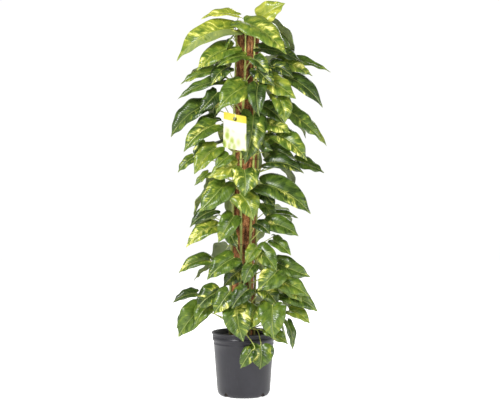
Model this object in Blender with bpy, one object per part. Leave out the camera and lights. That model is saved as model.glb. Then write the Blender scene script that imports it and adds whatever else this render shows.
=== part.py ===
"""A variegated pothos climbing a coir pole, in a 24 cm grower's pot, with a care tag.

The origin is the centre of the pot's underside, +Z is up, and the front of the plant faces -Y. Lengths in this
file are millimetres and angles are degrees; meshes are built in metres.
A bearing runs round the pole: 0 is the front, +90 is the plant's +X side.
"""

import itertools
import math
import random

import bpy
from mathutils import Vector
from mathutils.bvhtree import BVHTree

MM = 0.001
UP = Vector((0.0, 0.0, 1.0))

# Clearances
GAP = 0.3  # between pieces that rest on or in each other
LEAF_EDGE_GAP = 1.5  # kept free around the thin edges of every leaf

# Pot: a moulded shell, open at the top
POT_HEIGHT = 240.0
POT_RIM_RADIUS = 121.0
POT_LIP_HEIGHT = 7.0  # the bead at the very top
POT_LIP_PROUD = 3.0  # how far the bead stands out from the band
POT_BAND_HEIGHT = 32.0  # bead and band together
POT_BAND_PROUD = 3.5  # how far the band stands out from the wall
POT_TAPER = 14.0  # how much narrower the wall is at the heel
POT_HEEL_HEIGHT = 25.0
POT_HEEL_INSET = 17.0  # the rounded foot's radius, measured inwards
POT_WALL = 2.2
POT_FLOOR = 3.0
POT_SIDES = 32
DRAIN_NOTCHES = 4
DRAIN_NOTCH_WIDTH = 28.0
DRAIN_NOTCH_HEIGHT = 9.0
DRAIN_NOTCH_BEARING = -42.0

# Potting soil
SOIL_BELOW_RIM = 17.0

# Pole: a round wooden stake wrapped in coir
POLE_RADIUS = 42.5
POLE_RISE = 1142.0  # from the pot's rim to the pole's top
POLE_LEAN = 1.25  # towards +X
POLE_SHIFT = -8.5  # the pole's axis at the height of the rim
POLE_SIDES = 20
POLE_RINGS = 17
COIR_LUMP = 3.0  # how far the coir's hollows go in
CORE_RADIUS = 18.0
CORE_SHORT = 9.0  # the stake ends this far below the top of the coir

# Vines: rooted cuttings that climb the coir
VINE_RADIUS = 4.6
VINE_SIDES = 6
VINE_STEP = 62.0  # along the stem, from one section to the next
VINE_ROOTED = 30.0  # how deep a vine goes into the soil
VINE_WANDER = 5.0  # how far a vine's bearing sways to either side
VINE_STAND_OFF = 5.0  # how far the vine that carries the tag bows out from the coir
# name, bearing, how far below the top of the pole the vine ends
VINES = [
    ("vine_front", -14.0, 12.0),
    ("vine_front_right", 38.0, 30.0),
    ("vine_front_left", -62.0, 20.0),
    ("vine_right", 88.0, 60.0),
    ("vine_left", -112.0, 90.0),
    ("vine_back_right", 140.0, 45.0),
    ("vine_back_left", -162.0, 25.0),
]

# Ties: rings of coir twine around the pole and the vines
TIE_RADIUS = 1.5
TIE_STEP = 12.0  # of bearing, from one point of the ring to the next
TIE_HEIGHTS = {"tie_lower": 330.0, "tie_middle": 650.0, "tie_upper": 960.0}  # above the rim

# Care tag: a punched card that hangs from a thin loop round the front vine
TAG_WIDTH = 90.0
TAG_HEIGHT = 140.0
TAG_THICKNESS = 0.7
TAG_CORNER = 4.0
TAG_TURN = 10.5  # clockwise, seen from the front
TAG_YAW = 24.0  # its right side turned to the back
TAG_LEAN = 21.5  # its upper edge leant to the back
TAG_ACROSS = -31.0
TAG_RISE = 742.0  # the card's centre above the rim
TAG_OUT = 208.0
TAG_HOLE_RADIUS = 8.0
TAG_HOLE_DOWN = 19.0  # from the card's upper edge
LOOP_RADIUS = 0.8

# Leaves
PETIOLE_RADIUS = 1.9
PETIOLE_DROP = 42.0  # how far below its blade a leaf stalk leaves the vine
BLADE_RIB = 1.0  # half the thickness of the blade along its midrib
BLADE_TIP_RIB = 0.5
STALK_NECK = 5.0  # the last of the stalk is at least this far behind the joint
STALK_SWERVE = 1.0  # and at most this far to its side
LOWEST_STALK = 14.0  # above the rim
# Along the blade: where the midrib is, where the edge is, and the edge's distance out as a share of half the width.
# The first edges lie behind the joint, and make the heart's lobes.
BLADE_STATIONS = [
    (0.00, -0.13, 0.40),
    (0.03, -0.10, 0.76),
    (0.14, 0.05, 1.00),
    (0.33, 0.28, 0.97),
    (0.54, 0.52, 0.84),
    (0.74, 0.73, 0.57),
    (0.89, 0.885, 0.25),
]
PETIOLE_STATIONS = [0.0, 0.42, 0.90]

# The leaf tables are drawn up for a rim this high and a pole this long, and keep their place on a taller one.
TABLE_RIM = 240.0
TABLE_RISE = 1142.0

# The leaves that show most, each a piece of its own: where the blade meets its stalk and where its tip is (across,
# out to the front, height), the blade's width, and the bearing and rise of the way its upper face looks.
SHOWN_LEAVES = [
    ((62, 15, 1422), (155, 55, 1468), 92, (0, 20)),
    ((2, 70, 1400), (156, 185, 1264), 128, (15, 34)),
    ((62, 5, 1412), (206, 30, 1276), 112, (28, 36)),
    ((-25, 20, 1430), (-160, 40, 1414), 76, (-12, 52)),
    ((-44, 60, 1376), (-248, 80, 1252), 112, (-8, 38)),
    ((-42, 75, 1306), (-172, 130, 1210), 94, (-12, 28)),
    ((8, 88, 1272), (-98, 140, 1224), 70, (-5, 38)),
    ((62, 35, 1305), (222, 50, 1248), 84, (18, 40)),
    ((132, 40, 1264), (258, 65, 1200), 76, (20, 30)),
    ((130, -20, 1275), (330, -5, 1222), 76, (10, 50)),
    ((148, 45, 1203), (296, 65, 1080), 90, (20, 32)),
    ((82, 105, 1184), (193, 140, 1106), 90, (10, 26)),
    ((16, 118, 1154), (-90, 178, 1066), 122, (-6, 26)),
    ((53, 128, 1157), (58, 178, 1037), 76, (0, 22)),
    ((-78, 65, 1183), (-246, 85, 1110), 74, (-10, 48)),
    ((-100, 15, 1223), (-238, 30, 1172), 68, (-20, 44)),
    ((127, 115, 1117), (151, 155, 1017), 80, (18, 22)),
    ((160, 65, 1078), (288, 85, 963), 90, (20, 32)),
    ((-146, 50, 1090), (-271, 70, 970), 102, (-15, 32)),
    ((-106, 105, 1014), (-219, 135, 912), 84, (-10, 30)),
    ((36, 108, 1046), (4, 158, 866), 104, (5, 22)),
    ((85, 98, 1022), (172, 135, 982), 80, (10, 32)),
    ((122, 95, 982), (234, 135, 880), 96, (14, 28)),
    ((-100, 115, 928), (-180, 155, 830), 86, (-10, 26)),
    ((-24, 128, 862), (-130, 158, 818), 92, (-6, 32)),
    ((4, 152, 844), (5, 195, 752), 102, (0, 22)),
    ((-66, 115, 800), (-162, 155, 692), 106, (-10, 28)),
    ((86, 105, 874), (222, 135, 834), 78, (10, 34)),
    ((198, 15, 888), (303, 35, 839), 70, (20, 42)),
    ((71, 125, 796), (246, 155, 685), 112, (10, 30)),
    ((-10, 135, 757), (36, 183, 662), 100, (0, 27)),
    ((88, 105, 652), (202, 135, 604), 86, (10, 28)),
    ((-37, 125, 676), (-92, 155, 582), 80, (-5, 22)),
    ((-100, 85, 640), (-212, 115, 562), 74, (-10, 32)),
    ((-128, 45, 512), (-243, 60, 463), 72, (-10, 44)),
    ((-37, 125, 524), (-133, 165, 447), 86, (-5, 30)),
    ((52, 105, 556), (122, 145, 478), 84, (5, 28)),
    ((128, 65, 500), (248, 85, 452), 82, (14, 26)),
    ((125, 125, 478), (50, 165, 408), 96, (5, 26)),
    ((-158, 65, 334), (-242, 85, 228), 106, (-10, 26)),
    ((-22, 145, 350), (0, 190, 225), 114, (-3, 20)),
    ((106, 145, 350), (110, 188, 235), 106, (4, 20)),
    ((148, 65, 390), (276, 85, 322), 82, (14, 28)),
    ((63, 140, 203), (60, 156, 120), 96, (0, 14)),
]

# More leaves of the front half, each grown as one piece with its vine.
VINE_LEAVES = [
    ((0, 80, 1402), (-33, 97, 1367), 44, (0, 31)),
    ((-45, 62, 1338), (-64, 92, 1290), 42, (-55, 5)),
    ((65, 95, 1250), (110, 122, 1222), 44, (40, -35)),
    ((100, 62, 1240), (185, 100, 1187), 70, (0, 36)),
    ((190, 5, 1060), (314, 15, 940), 74, (45, 24)),
    ((73, 70, 1085), (148, 95, 1018), 70, (0, 30)),
    ((-105, 62, 1045), (-190, 80, 990), 64, (-10, 40)),
    ((-98, 85, 1135), (-164, 112, 1060), 72, (-10, 32)),
    ((-80, 60, 1092), (-108, 72, 1042), 36, (-30, 20)),
    ((66, 115, 950), (106, 142, 918), 50, (30, -35)),
    ((-142, 52, 950), (-183, 72, 888), 62, (-20, 30)),
    ((-188, 42, 897), (-246, 52, 840), 50, (-20, 36)),
    ((-133, 42, 838), (-184, 52, 790), 38, (-40, 12)),
    ((100, 65, 925), (197, 82, 885), 58, (10, 36)),
    ((-60, 62, 755), (-103, 82, 722), 48, (-20, 22)),
    ((-108, 62, 698), (-200, 82, 635), 64, (-10, 40)),
    ((75, 62, 722), (108, 74, 645), 58, (10, 30)),
    ((110, 30, 686), (206, 40, 668), 54, (10, 56)),
    ((50, 112, 650), (98, 134, 612), 54, (0, 32)),
    ((110, 85, 588), (176, 112, 533), 60, (10, 32)),
    ((46, 125, 562), (8, 152, 502), 58, (0, 30)),
    ((-2, 85, 484), (-74, 104, 418), 82, (-5, 22)),
    ((34, 145, 498), (0, 172, 427), 58, (0, 22)),
    ((-90, 115, 400), (-170, 145, 338), 96, (-10, 28)),
    ((-178, 15, 385), (-267, 30, 350), 58, (-20, 42)),
    ((-52, 95, 400), (-108, 115, 322), 80, (-10, 22)),
    ((-170, 5, 325), (-254, 15, 252), 80, (-20, 40)),
    ((15, 125, 410), (-42, 162, 345), 74, (-5, 30)),
    ((53, 155, 340), (14, 186, 262), 90, (-5, 34)),
    ((72, 105, 410), (128, 132, 348), 80, (5, 24)),
    ((120, 85, 444), (245, 112, 381), 86, (10, 30)),
    ((172, 62, 325), (247, 82, 277), 62, (15, 36)),
    ((163, 62, 283), (180, 82, 178), 48, (40, 20)),
    ((88, 125, 262), (164, 147, 210), 62, (10, 42)),
    ((29, 126, 190), (-10, 132, 128), 58, (-10, 14)),
    ((60, 62, 1218), (132, 96, 1150), 80, (5, 26)),
    ((38, 82, 1254), (92, 112, 1190), 64, (10, 26)),
    ((-62, 50, 1228), (-118, 76, 1160), 74, (-15, 24)),
    ((-55, 42, 1122), (-100, 62, 1056), 66, (-20, 22)),
    ((62, 90, 988), (112, 120, 924), 66, (10, 26)),
    ((-60, 70, 900), (-112, 96, 850), 62, (-12, 26)),
    ((60, 70, 780), (118, 92, 712), 70, (12, 26)),
    ((-52, 78, 620), (-20, 100, 560), 52, (-8, 22)),
    ((150, 90, 432), (216, 112, 362), 76, (12, 26)),
    ((60, 62, 344), (104, 92, 282), 66, (10, 22)),
    ((-118, 62, 352), (-176, 92, 276), 76, (-16, 26)),
]

# Leaves of the back half: spaced up the pole by a fixed step, and round it by the golden angle.
BACK_LEAVES = 30
BACK_LOWEST = 70.0  # above the rim, in the table's heights
BACK_HIGHEST = 1110.0
BACK_MIDDLE = 180.0
BACK_SPREAD = 92.0  # of bearing, to either side of the middle
BACK_REACH = (85.0, 150.0)  # from the pole's axis to the joint
BACK_LENGTH = (85.0, 150.0)
BACK_WIDTH_SHARE = 0.80
GOLDEN_ANGLE = 137.5


def material(name, colour, roughness):
    made = bpy.data.materials.new(name)
    made.use_nodes = True
    shader = made.node_tree.nodes["Principled BSDF"]
    shader.inputs["Base Color"].default_value = (*colour, 1.0)
    shader.inputs["Roughness"].default_value = roughness
    shader.inputs["Metallic"].default_value = 0.0
    return made


def add_object(name, points, faces, surface):
    mesh = bpy.data.meshes.new(name)
    mesh.from_pydata([p * MM for p in points], [], faces)
    mesh.materials.append(surface)
    mesh.validate()
    made = bpy.data.objects.new(name, mesh)
    bpy.context.scene.collection.objects.link(made)
    return made


def hide(piece):
    piece.hide_render = True
    piece.display_type = "WIRE"


def boolean(piece, tool, operation):
    change = piece.modifiers.new(f"{operation.lower()} {tool.name}", "BOOLEAN")
    change.operation = operation
    change.object = tool
    hide(tool)


def smooth(piece, angle=40.0):
    piece.data.shade_smooth()
    piece.data.set_sharp_from_angle(angle=math.radians(angle))


def turned(profile, sides):
    """A solid of revolution about Z. The profile runs from a point on the axis round to another, outside first."""
    points = [Vector((0.0, 0.0, profile[0][1]))]
    for radius, height in profile[1:-1]:
        for k in range(sides):
            angle = math.tau * k / sides
            points.append(Vector((radius * math.cos(angle), radius * math.sin(angle), height)))
    points.append(Vector((0.0, 0.0, profile[-1][1])))
    rings = len(profile) - 2
    faces = []
    for k in range(sides):
        after = (k + 1) % sides
        faces.append((0, 1 + after, 1 + k))
        for ring in range(rings - 1):
            low = 1 + ring * sides
            high = low + sides
            faces.append((low + k, low + after, high + after, high + k))
        top = 1 + (rings - 1) * sides
        faces.append((top + k, top + after, len(points) - 1))
    return points, faces


def sections_to_mesh(sections, closed=False, tip=None):
    """Joins rings of the same number of points into one skin, with flat ends, a closed ring or a pointed end.

    The diagonals alternate round a ring, so that the upper and lower skins of a blade crease alike.
    """
    sides = len(sections[0])
    points = [point for section in sections for point in section]
    faces = []
    bands = len(sections) if closed else len(sections) - 1
    for band in range(bands):
        low = band * sides
        high = (band + 1) % len(sections) * sides
        for k in range(sides):
            after = (k + 1) % sides
            if k % 2 == 0:
                faces.append((low + k, low + after, high + after))
                faces.append((low + k, high + after, high + k))
            else:
                faces.append((low + k, low + after, high + k))
                faces.append((low + after, high + after, high + k))
    if closed:
        return points, faces
    faces.append(tuple(reversed(range(sides))))
    last = (len(sections) - 1) * sides
    if tip is None:
        faces.append(tuple(last + k for k in range(sides)))
        return points, faces
    points.append(tip)
    for k in range(sides):
        faces.append((last + k, last + (k + 1) % sides, len(points) - 1))
    return points, faces


def ring_at(centre, along, radius, sides, start=None):
    """Points on a circle round a path, counter-clockwise when seen from where the path goes."""
    side = (start or UP.cross(along)).normalized()
    side = (side - along * side.dot(along)).normalized()
    other = along.cross(side)
    points = []
    for k in range(sides):
        angle = math.tau * k / sides
        points.append(centre + (side * math.cos(angle) + other * math.sin(angle)) * radius)
    return points


def on_table(across, out, height):
    """A point of the leaf tables, at its place on this pole."""
    rise = (height - TABLE_RIM) * POLE_RISE / TABLE_RISE
    return Vector((across, -out, POT_HEIGHT + rise))


def pole_axis(height):
    lean = (height - POT_HEIGHT) * math.tan(math.radians(POLE_LEAN))
    return Vector((POLE_SHIFT + lean, 0.0, height))


def outward(bearing):
    angle = math.radians(bearing)
    return Vector((math.sin(angle), -math.cos(angle), 0.0))


def around_pole(height, bearing, reach):
    return pole_axis(height) + outward(bearing) * reach


def bearing_of(point):
    offset = point - pole_axis(point.z)
    return math.degrees(math.atan2(offset.x, -offset.y))


def bearing_apart(one, other):
    return abs((one - other + 180.0) % 360.0 - 180.0)


def wall_radius():
    """Outside of the pot's wall, right under the band."""
    return POT_RIM_RADIUS - POT_LIP_PROUD - POT_BAND_PROUD


def pot_inside():
    """The inside of the pot, from the floor up, as radius and height."""
    heel = wall_radius() - POT_TAPER - POT_WALL
    base = heel - POT_HEEL_INSET + POT_WALL
    return [
        (base, POT_FLOOR),
        (base + 0.72 * (heel - base), POT_FLOOR + 0.42 * (POT_HEEL_HEIGHT - POT_FLOOR)),
        (heel, POT_HEEL_HEIGHT + POT_WALL),
        (wall_radius() - POT_WALL, POT_HEIGHT - POT_BAND_HEIGHT),
        (POT_RIM_RADIUS - POT_LIP_PROUD - POT_WALL, POT_HEIGHT - POT_BAND_HEIGHT + POT_WALL),
        (POT_RIM_RADIUS - POT_LIP_PROUD - POT_WALL + 0.6, POT_HEIGHT),
    ]


def make_pot(surface):
    heel = wall_radius() - POT_TAPER
    base = heel - POT_HEEL_INSET
    band = POT_RIM_RADIUS - POT_LIP_PROUD
    outside = [
        (0.0, 0.0),
        (base, 0.0),
        (base + 0.30 * POT_HEEL_INSET, 0.08 * POT_HEEL_HEIGHT),
        (base + 0.72 * POT_HEEL_INSET, 0.38 * POT_HEEL_HEIGHT),
        (base + 0.94 * POT_HEEL_INSET, 0.72 * POT_HEEL_HEIGHT),
        (heel, POT_HEEL_HEIGHT),
        (wall_radius(), POT_HEIGHT - POT_BAND_HEIGHT - 1.5),
        (band - 0.5, POT_HEIGHT - POT_BAND_HEIGHT),
        (band, POT_HEIGHT - POT_LIP_HEIGHT - 1.0),
        (POT_RIM_RADIUS, POT_HEIGHT - POT_LIP_HEIGHT + 1.0),
        (POT_RIM_RADIUS, POT_HEIGHT - 1.5),
        (POT_RIM_RADIUS - 1.5, POT_HEIGHT),
    ]
    inside = list(reversed(pot_inside()))
    pot = add_object("pot", *turned(outside + inside + [(0.0, POT_FLOOR)], POT_SIDES), surface)
    for k in range(DRAIN_NOTCHES):
        bearing = DRAIN_NOTCH_BEARING + 360.0 * k / DRAIN_NOTCHES
        notch = add_object(f"drain_notch_{k + 1}", *drain_notch(bearing, heel), surface)
        boolean(pot, notch, "DIFFERENCE")
    smooth(pot, 30.0)
    return pot


def drain_notch(bearing, heel):
    """A low arch through the foot of the wall."""
    along = outward(bearing)
    across = UP.cross(along)
    arch = []
    for share, height in ((-0.5, -2.0), (0.5, -2.0), (0.42, 0.62), (0.2, 1.0), (-0.2, 1.0), (-0.42, 0.62)):
        lift = -2.0 if height < 0.0 else height * DRAIN_NOTCH_HEIGHT
        arch.append(across * share * DRAIN_NOTCH_WIDTH + UP * lift)
    inner = heel - POT_HEEL_INSET - 9.0
    return sections_to_mesh([[p + along * reach for p in arch] for reach in (inner, heel + 10.0)])


def make_soil(surface):
    top = POT_HEIGHT - SOIL_BELOW_RIM
    inside = pot_inside()
    outline = [(0.0, POT_FLOOR + GAP)]
    outline += [(radius - GAP, max(height, POT_FLOOR + GAP)) for radius, height in inside[:3]]
    low, high = inside[2], inside[3]
    share = (min(top, high[1]) - low[1]) / (high[1] - low[1])
    outline.append((low[0] + (high[0] - low[0]) * share - GAP, min(top, high[1]) - GAP))
    if top > high[1]:
        outline.append((high[0] - GAP, top))
    outline.append((0.0, top))
    soil = add_object("soil", *turned(outline, POT_SIDES), surface)
    bore_radius = (POLE_RADIUS + GAP) / math.cos(math.pi / POLE_SIDES)
    bore = add_object("soil_bore", *pole_tube(0.0, top + 20.0, bore_radius), surface)
    boolean(soil, bore, "DIFFERENCE")
    for name, bearing, below_top in VINES:
        pocket_radius = (VINE_RADIUS + GAP) / math.cos(math.pi / VINE_SIDES)
        path = [vine_point(name, bearing, height) for height in (top - VINE_ROOTED - GAP, top + 10.0)]
        pocket = add_object(f"pocket_{name}", *tube(path, pocket_radius, VINE_SIDES), surface)
        boolean(soil, pocket, "DIFFERENCE")
    return soil


def pole_tube(bottom, top, radius):
    return sections_to_mesh([ring_at(pole_axis(h), UP, radius, POLE_SIDES, Vector((1, 0, 0))) for h in (bottom, top)])


def tube(path, radius, sides):
    """A tube along a path, with flat ends."""
    sections = []
    start = Vector((1.0, 0.0, 0.0))
    for k, point in enumerate(path):
        along = (path[min(k + 1, len(path) - 1)] - path[max(k - 1, 0)]).normalized()
        sections.append(ring_at(point, along, radius, sides, start))
    return sections_to_mesh(sections)


def make_core(surface):
    top = POT_HEIGHT + POLE_RISE - CORE_SHORT
    core = add_object("pole_core", *pole_tube(POT_FLOOR + GAP, top, CORE_RADIUS), surface)
    smooth(core)
    return core


def coir_radius(ring, k):
    """The coir's outside, which swells and sinks a little up and round the pole."""
    up = math.sin(2.1 * ring + 0.9 * math.sin(1.3 * ring))
    around = math.sin(3.0 * math.tau * k / POLE_SIDES + 1.7 * ring)
    return POLE_RADIUS - COIR_LUMP * (0.5 - 0.25 * up - 0.25 * around)


def make_coir(surface):
    """A sleeve: the inner skin lies on the stake, and the outer one is lumpy."""
    bottom = POT_FLOOR + GAP
    top = POT_HEIGHT + POLE_RISE
    bore = (CORE_RADIUS + GAP) / math.cos(math.pi / POLE_SIDES)
    sections = [ring_at(pole_axis(bottom), UP, bore, POLE_SIDES, Vector((1, 0, 0)))]
    for ring in range(POLE_RINGS):
        height = bottom + (top - bottom) * ring / (POLE_RINGS - 1)
        circle = ring_at(pole_axis(height), UP, 1.0, POLE_SIDES, Vector((1, 0, 0)))
        centre = pole_axis(height)
        sections.append([centre + (p - centre) * coir_radius(ring, k) for k, p in enumerate(circle)])
    sections.append(ring_at(pole_axis(top), UP, bore, POLE_SIDES, Vector((1, 0, 0))))
    coir = add_object("coir_sleeve", *sections_to_mesh(sections, closed=True), surface)
    smooth(coir, 60.0)
    return coir


def vine_point(name, bearing, height):
    """The middle of a vine's stem at a height. The stem climbs just off the coir and sways a little."""
    rise = height - POT_HEIGHT
    sway = VINE_WANDER * math.sin(rise / 118.0 + math.radians(bearing) * 3.0) if rise > 0.0 else 0.0
    settle = min(max(rise / 60.0, 0.0), 1.0)
    sway *= settle
    reach = POLE_RADIUS + GAP + VINE_RADIUS + 0.4
    if name == VINES[0][0]:
        from_tag = (rise - tag_anchor_rise()) / 70.0
        reach += VINE_STAND_OFF * math.exp(-from_tag * from_tag)
    return around_pole(height, bearing + sway, reach)


def vine_top(below_top):
    return POT_HEIGHT + POLE_RISE - below_top


def vine_path(name, bearing, below_top):
    bottom = POT_HEIGHT - SOIL_BELOW_RIM - VINE_ROOTED
    soil_top = POT_HEIGHT - SOIL_BELOW_RIM
    climb = vine_top(below_top) - soil_top - 10.0
    steps = round(climb / VINE_STEP)
    heights = [bottom, soil_top + 10.0]
    heights += [soil_top + 10.0 + climb * k / steps for k in range(1, steps + 1)]
    return [vine_point(name, bearing, height) for height in heights]


def support_point(height, bearing, radius):
    """Where twine of a radius touches the outline of the pole and its vines, on the side that a bearing names."""
    way = outward(bearing)
    best = pole_axis(height) + way * (POLE_RADIUS + GAP + radius)
    for name, at, below_top in VINES:
        if height > vine_top(below_top):
            continue
        touch = vine_point(name, at, height) + way * (VINE_RADIUS + GAP + radius)
        if (touch - best).dot(way) > 0.0:
            best = touch
    return best


def make_tie(name, rise, surface):
    height = POT_HEIGHT + rise * POLE_RISE / TABLE_RISE
    steps = round(360.0 / TIE_STEP)
    path = [support_point(height, k * TIE_STEP, TIE_RADIUS + 0.4) for k in range(steps)]
    sections = []
    for k, point in enumerate(path):
        along = (path[(k + 1) % steps] - path[k - 1]).normalized()
        sections.append(ring_at(point, along, TIE_RADIUS, 4, UP))
    tie = add_object(name, *sections_to_mesh(sections, closed=True), surface)
    smooth(tie, 70.0)
    return tie


def tag_centre():
    return on_table(TAG_ACROSS, TAG_OUT, TABLE_RIM + TAG_RISE)


def tag_axes():
    """Along the card's width, up its height, and out of its printed face."""
    turn, yaw, lean = (math.radians(angle) for angle in (TAG_TURN, TAG_YAW, TAG_LEAN))
    across = Vector((math.cos(turn) * math.cos(yaw), math.sin(yaw), -math.sin(turn) * math.cos(yaw)))
    up = Vector((0.0, math.sin(lean), math.cos(lean)))
    up = (up - across * up.dot(across)).normalized()
    return across, up, across.cross(up)


def tag_hole():
    _, up, _ = tag_axes()
    return tag_centre() + up * (TAG_HEIGHT / 2.0 - TAG_HOLE_DOWN)


def tag_anchor_rise():
    """The height above the rim at which the tag's loop goes round the front vine."""
    _, up, _ = tag_axes()
    return (tag_centre() + up * (TAG_HEIGHT / 2.0 + 6.0)).z - POT_HEIGHT


def make_tag(surface):
    across, up, face = tag_axes()
    outline = []
    for corner_x, corner_z, first in ((1, -1, -90), (1, 1, 0), (-1, 1, 90), (-1, -1, 180)):
        middle_x = corner_x * (TAG_WIDTH / 2.0 - TAG_CORNER)
        middle_z = corner_z * (TAG_HEIGHT / 2.0 - TAG_CORNER)
        for step in (0, 30, 60, 90):
            angle = math.radians(first + step)
            x = middle_x + TAG_CORNER * math.cos(angle)
            z = middle_z + TAG_CORNER * math.sin(angle)
            outline.append(tag_centre() + across * x + up * z)
    front = face * TAG_THICKNESS
    card = add_object("care_tag", *sections_to_mesh([outline, [p + front for p in outline]]), surface)
    punch = [ring_at(tag_hole() + face * reach, face, TAG_HOLE_RADIUS, 12, across) for reach in (-5.0, 5.0)]
    boolean(card, add_object("tag_punch", *sections_to_mesh(punch), surface), "DIFFERENCE")
    return card


def catmull_rom(knots, per_span):
    """A smooth closed curve through the knots."""
    points = []
    count = len(knots)
    for k in range(count):
        a, b, c, d = (knots[(k + j) % count] for j in (-1, 0, 1, 2))
        for step in range(per_span):
            t = step / per_span
            bend = (2 * a - 5 * b + 4 * c - d) * t * t + (3 * b - a - 3 * c + d) * t * t * t
            points.append(0.5 * (2 * b + (c - a) * t + bend))
    return points


def make_tag_loop(surface):
    """Round the back of the front vine, forward to the card, in at its hole and over its upper edge."""
    name, bearing, _ = VINES[0]
    height = POT_HEIGHT + tag_anchor_rise()
    vine = vine_point(name, bearing, height)
    clear = VINE_RADIUS + GAP + LOOP_RADIUS + 0.5
    back = vine - outward(bearing) * (VINE_RADIUS + (VINE_STAND_OFF + GAP) / 2.0)
    side = outward(bearing + 90.0) * clear
    front = outward(bearing) * (clear + 4.0)
    across, up, face = tag_axes()
    hole = tag_hole() + face * (TAG_THICKNESS / 2.0)
    behind = face * -10.0
    ahead = face * 4.0
    over = hole + up * (TAG_HOLE_DOWN + 4.0)
    knots = [
        back,
        vine + side * 1.25,
        vine + side * 0.9 + front,
        over + behind * 3.0 + across * 2.0,
        over,
        hole + ahead + up * (0.5 * TAG_HOLE_DOWN),
        hole,
        hole + behind + up * (0.4 * TAG_HOLE_DOWN) - across * 2.0,
        vine - side * 0.9 + front,
        vine - side * 1.25,
    ]
    path = catmull_rom(knots, 4)
    sections = []
    start = Vector((0.3, 0.2, 1.0))
    for k, point in enumerate(path):
        along = (path[(k + 1) % len(path)] - path[k - 1]).normalized()
        start = (start - along * start.dot(along)).normalized()
        sections.append(ring_at(point, along, LOOP_RADIUS, 4, start))
    return add_object("tag_loop", *twist_free(sections), surface)


def twist_free(sections):
    """Closes a ring of sections, turning the numbering of the last one to meet the first."""
    sides = len(sections[0])
    first, last = sections[0], sections[-1]
    shift = min(range(sides), key=lambda s: sum((first[k] - last[(k + s) % sides]).length for k in range(sides)))
    points, faces = sections_to_mesh(sections, closed=True)
    start = (len(sections) - 1) * sides
    faces = faces[: -2 * sides]
    for k in range(sides):
        a, b = start + (k + shift) % sides, start + (k + 1 + shift) % sides
        c, d = (k + 1) % sides, k
        faces.append((a, b, c))
        faces.append((a, c, d))
    return points, faces


class Leaf:
    """One leaf: a heart-shaped blade, folded along its midrib and arched, on a stalk that comes from a vine."""

    def __init__(self, joint, tip, width, face, chance):
        self.joint = joint
        self.tip = tip
        self.width = width
        rise = math.radians(face[1])
        self.face = outward(face[0]) * math.cos(rise) + UP * math.sin(rise)
        self.arch = chance.uniform(0.07, 0.14)
        self.fold = math.radians(chance.uniform(9.0, 24.0))
        self.lean = chance.uniform(-0.06, 0.06)
        self.ripple = chance.uniform(0.0, math.tau)

    def swung(self, lift, turn, depth):
        """The same leaf, moved up, turned round the pole and moved to the front or the back."""
        moved = Leaf.__new__(Leaf)
        moved.__dict__.update(self.__dict__)
        moved.joint = swing(self.joint, lift, turn, depth)
        moved.tip = swing(self.tip, lift, turn, depth)
        return moved

    def axes(self):
        along = (self.tip - self.joint).normalized()
        above = (self.face - along * self.face.dot(along)).normalized()
        return along, above, along.cross(above)

    def stalk(self, root, way):
        """Points along the stalk, from the vine to just behind the blade."""
        along, above, side = self.axes()
        reach = (self.joint - root).length
        hangs = self.joint.z < POT_HEIGHT + LOWEST_STALK
        arrive = along if hangs else (along * 0.45 + above * 0.55 + UP * 0.35).normalized()
        leave = (way * 0.55 + UP * 0.45 + (self.joint - root).normalized() * 0.5).normalized()
        first = root + leave * reach * (0.45 if hangs else 0.38)
        second = self.joint - arrive * reach * (0.45 if hangs else 0.30)
        points = []
        for t in PETIOLE_STATIONS:
            near = root * (1 - t) ** 3 + first * 3 * t * (1 - t) ** 2
            points.append(near + second * 3 * t * t * (1 - t) + self.joint * t**3)
        back = self.joint - points[-1]
        aside = back.dot(side)
        points[-1] += side * (aside - min(max(aside, -STALK_SWERVE), STALK_SWERVE))
        points[-1] -= along * max(0.0, STALK_NECK - back.dot(along))
        return points

    def mesh(self, root, way, spare=0.0):
        """The leaf's points and faces. Spare makes it that much thicker and wider all round."""
        along, above, side = self.axes()
        length = (self.tip - self.joint).length
        stalk = self.stalk(root, way) + [self.joint]
        sections = []
        frame = (side, above)
        heading = along
        for k in range(len(stalk) - 2, -1, -1):
            ahead = (stalk[k + 1] - stalk[k]).normalized()
            turn = heading.rotation_difference(ahead)
            frame = (turn @ frame[0], turn @ frame[1])
            heading = ahead
            radius = PETIOLE_RADIUS + min(spare, GAP)
            flat, high = frame[0] * radius, frame[1] * radius
            sections.insert(0, [stalk[k] - flat, stalk[k] + high, stalk[k] + flat, stalk[k] - high])
        half = self.width / 2.0
        for k, (middle_at, edge_at, share) in enumerate(BLADE_STATIONS):
            middle = self.midrib(middle_at, length)
            rib = (BLADE_RIB + (BLADE_TIP_RIB - BLADE_RIB) * middle_at + min(spare, GAP)) * above
            edge = self.midrib(edge_at, length)
            fold = self.fold * (1.0 - 0.4 * edge_at)
            reach = half * share + spare
            wave = 0.05 * half * math.sin(2.3 * k + self.ripple) * share
            left = edge - side * reach * math.cos(fold) + above * (reach * math.sin(fold) + wave)
            right = edge + side * reach * math.cos(fold) + above * (reach * math.sin(fold) - wave)
            sections.append([left, middle + rib, right, middle - rib])
        return sections_to_mesh(sections, tip=self.tip + along * spare)

    def midrib(self, share, length):
        along, above, side = self.axes()
        bow = 4.0 * share * (1.0 - share)
        return self.joint + along * share * length + (above * self.arch + side * self.lean) * bow * length


def swing(point, lift, turn, depth):
    offset = point - pole_axis(point.z)
    angle = math.radians(turn)
    x = offset.x * math.cos(angle) - offset.y * math.sin(angle)
    y = offset.x * math.sin(angle) + offset.y * math.cos(angle)
    return pole_axis(point.z + lift) + Vector((x, y - depth, 0.0))


def back_and_forth(step, count):
    """0, step, -step, 2 step, -2 step and so on."""
    return [0.0] + [sign * step * k for k in range(1, count + 1) for sign in (1.0, -1.0)]


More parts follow.
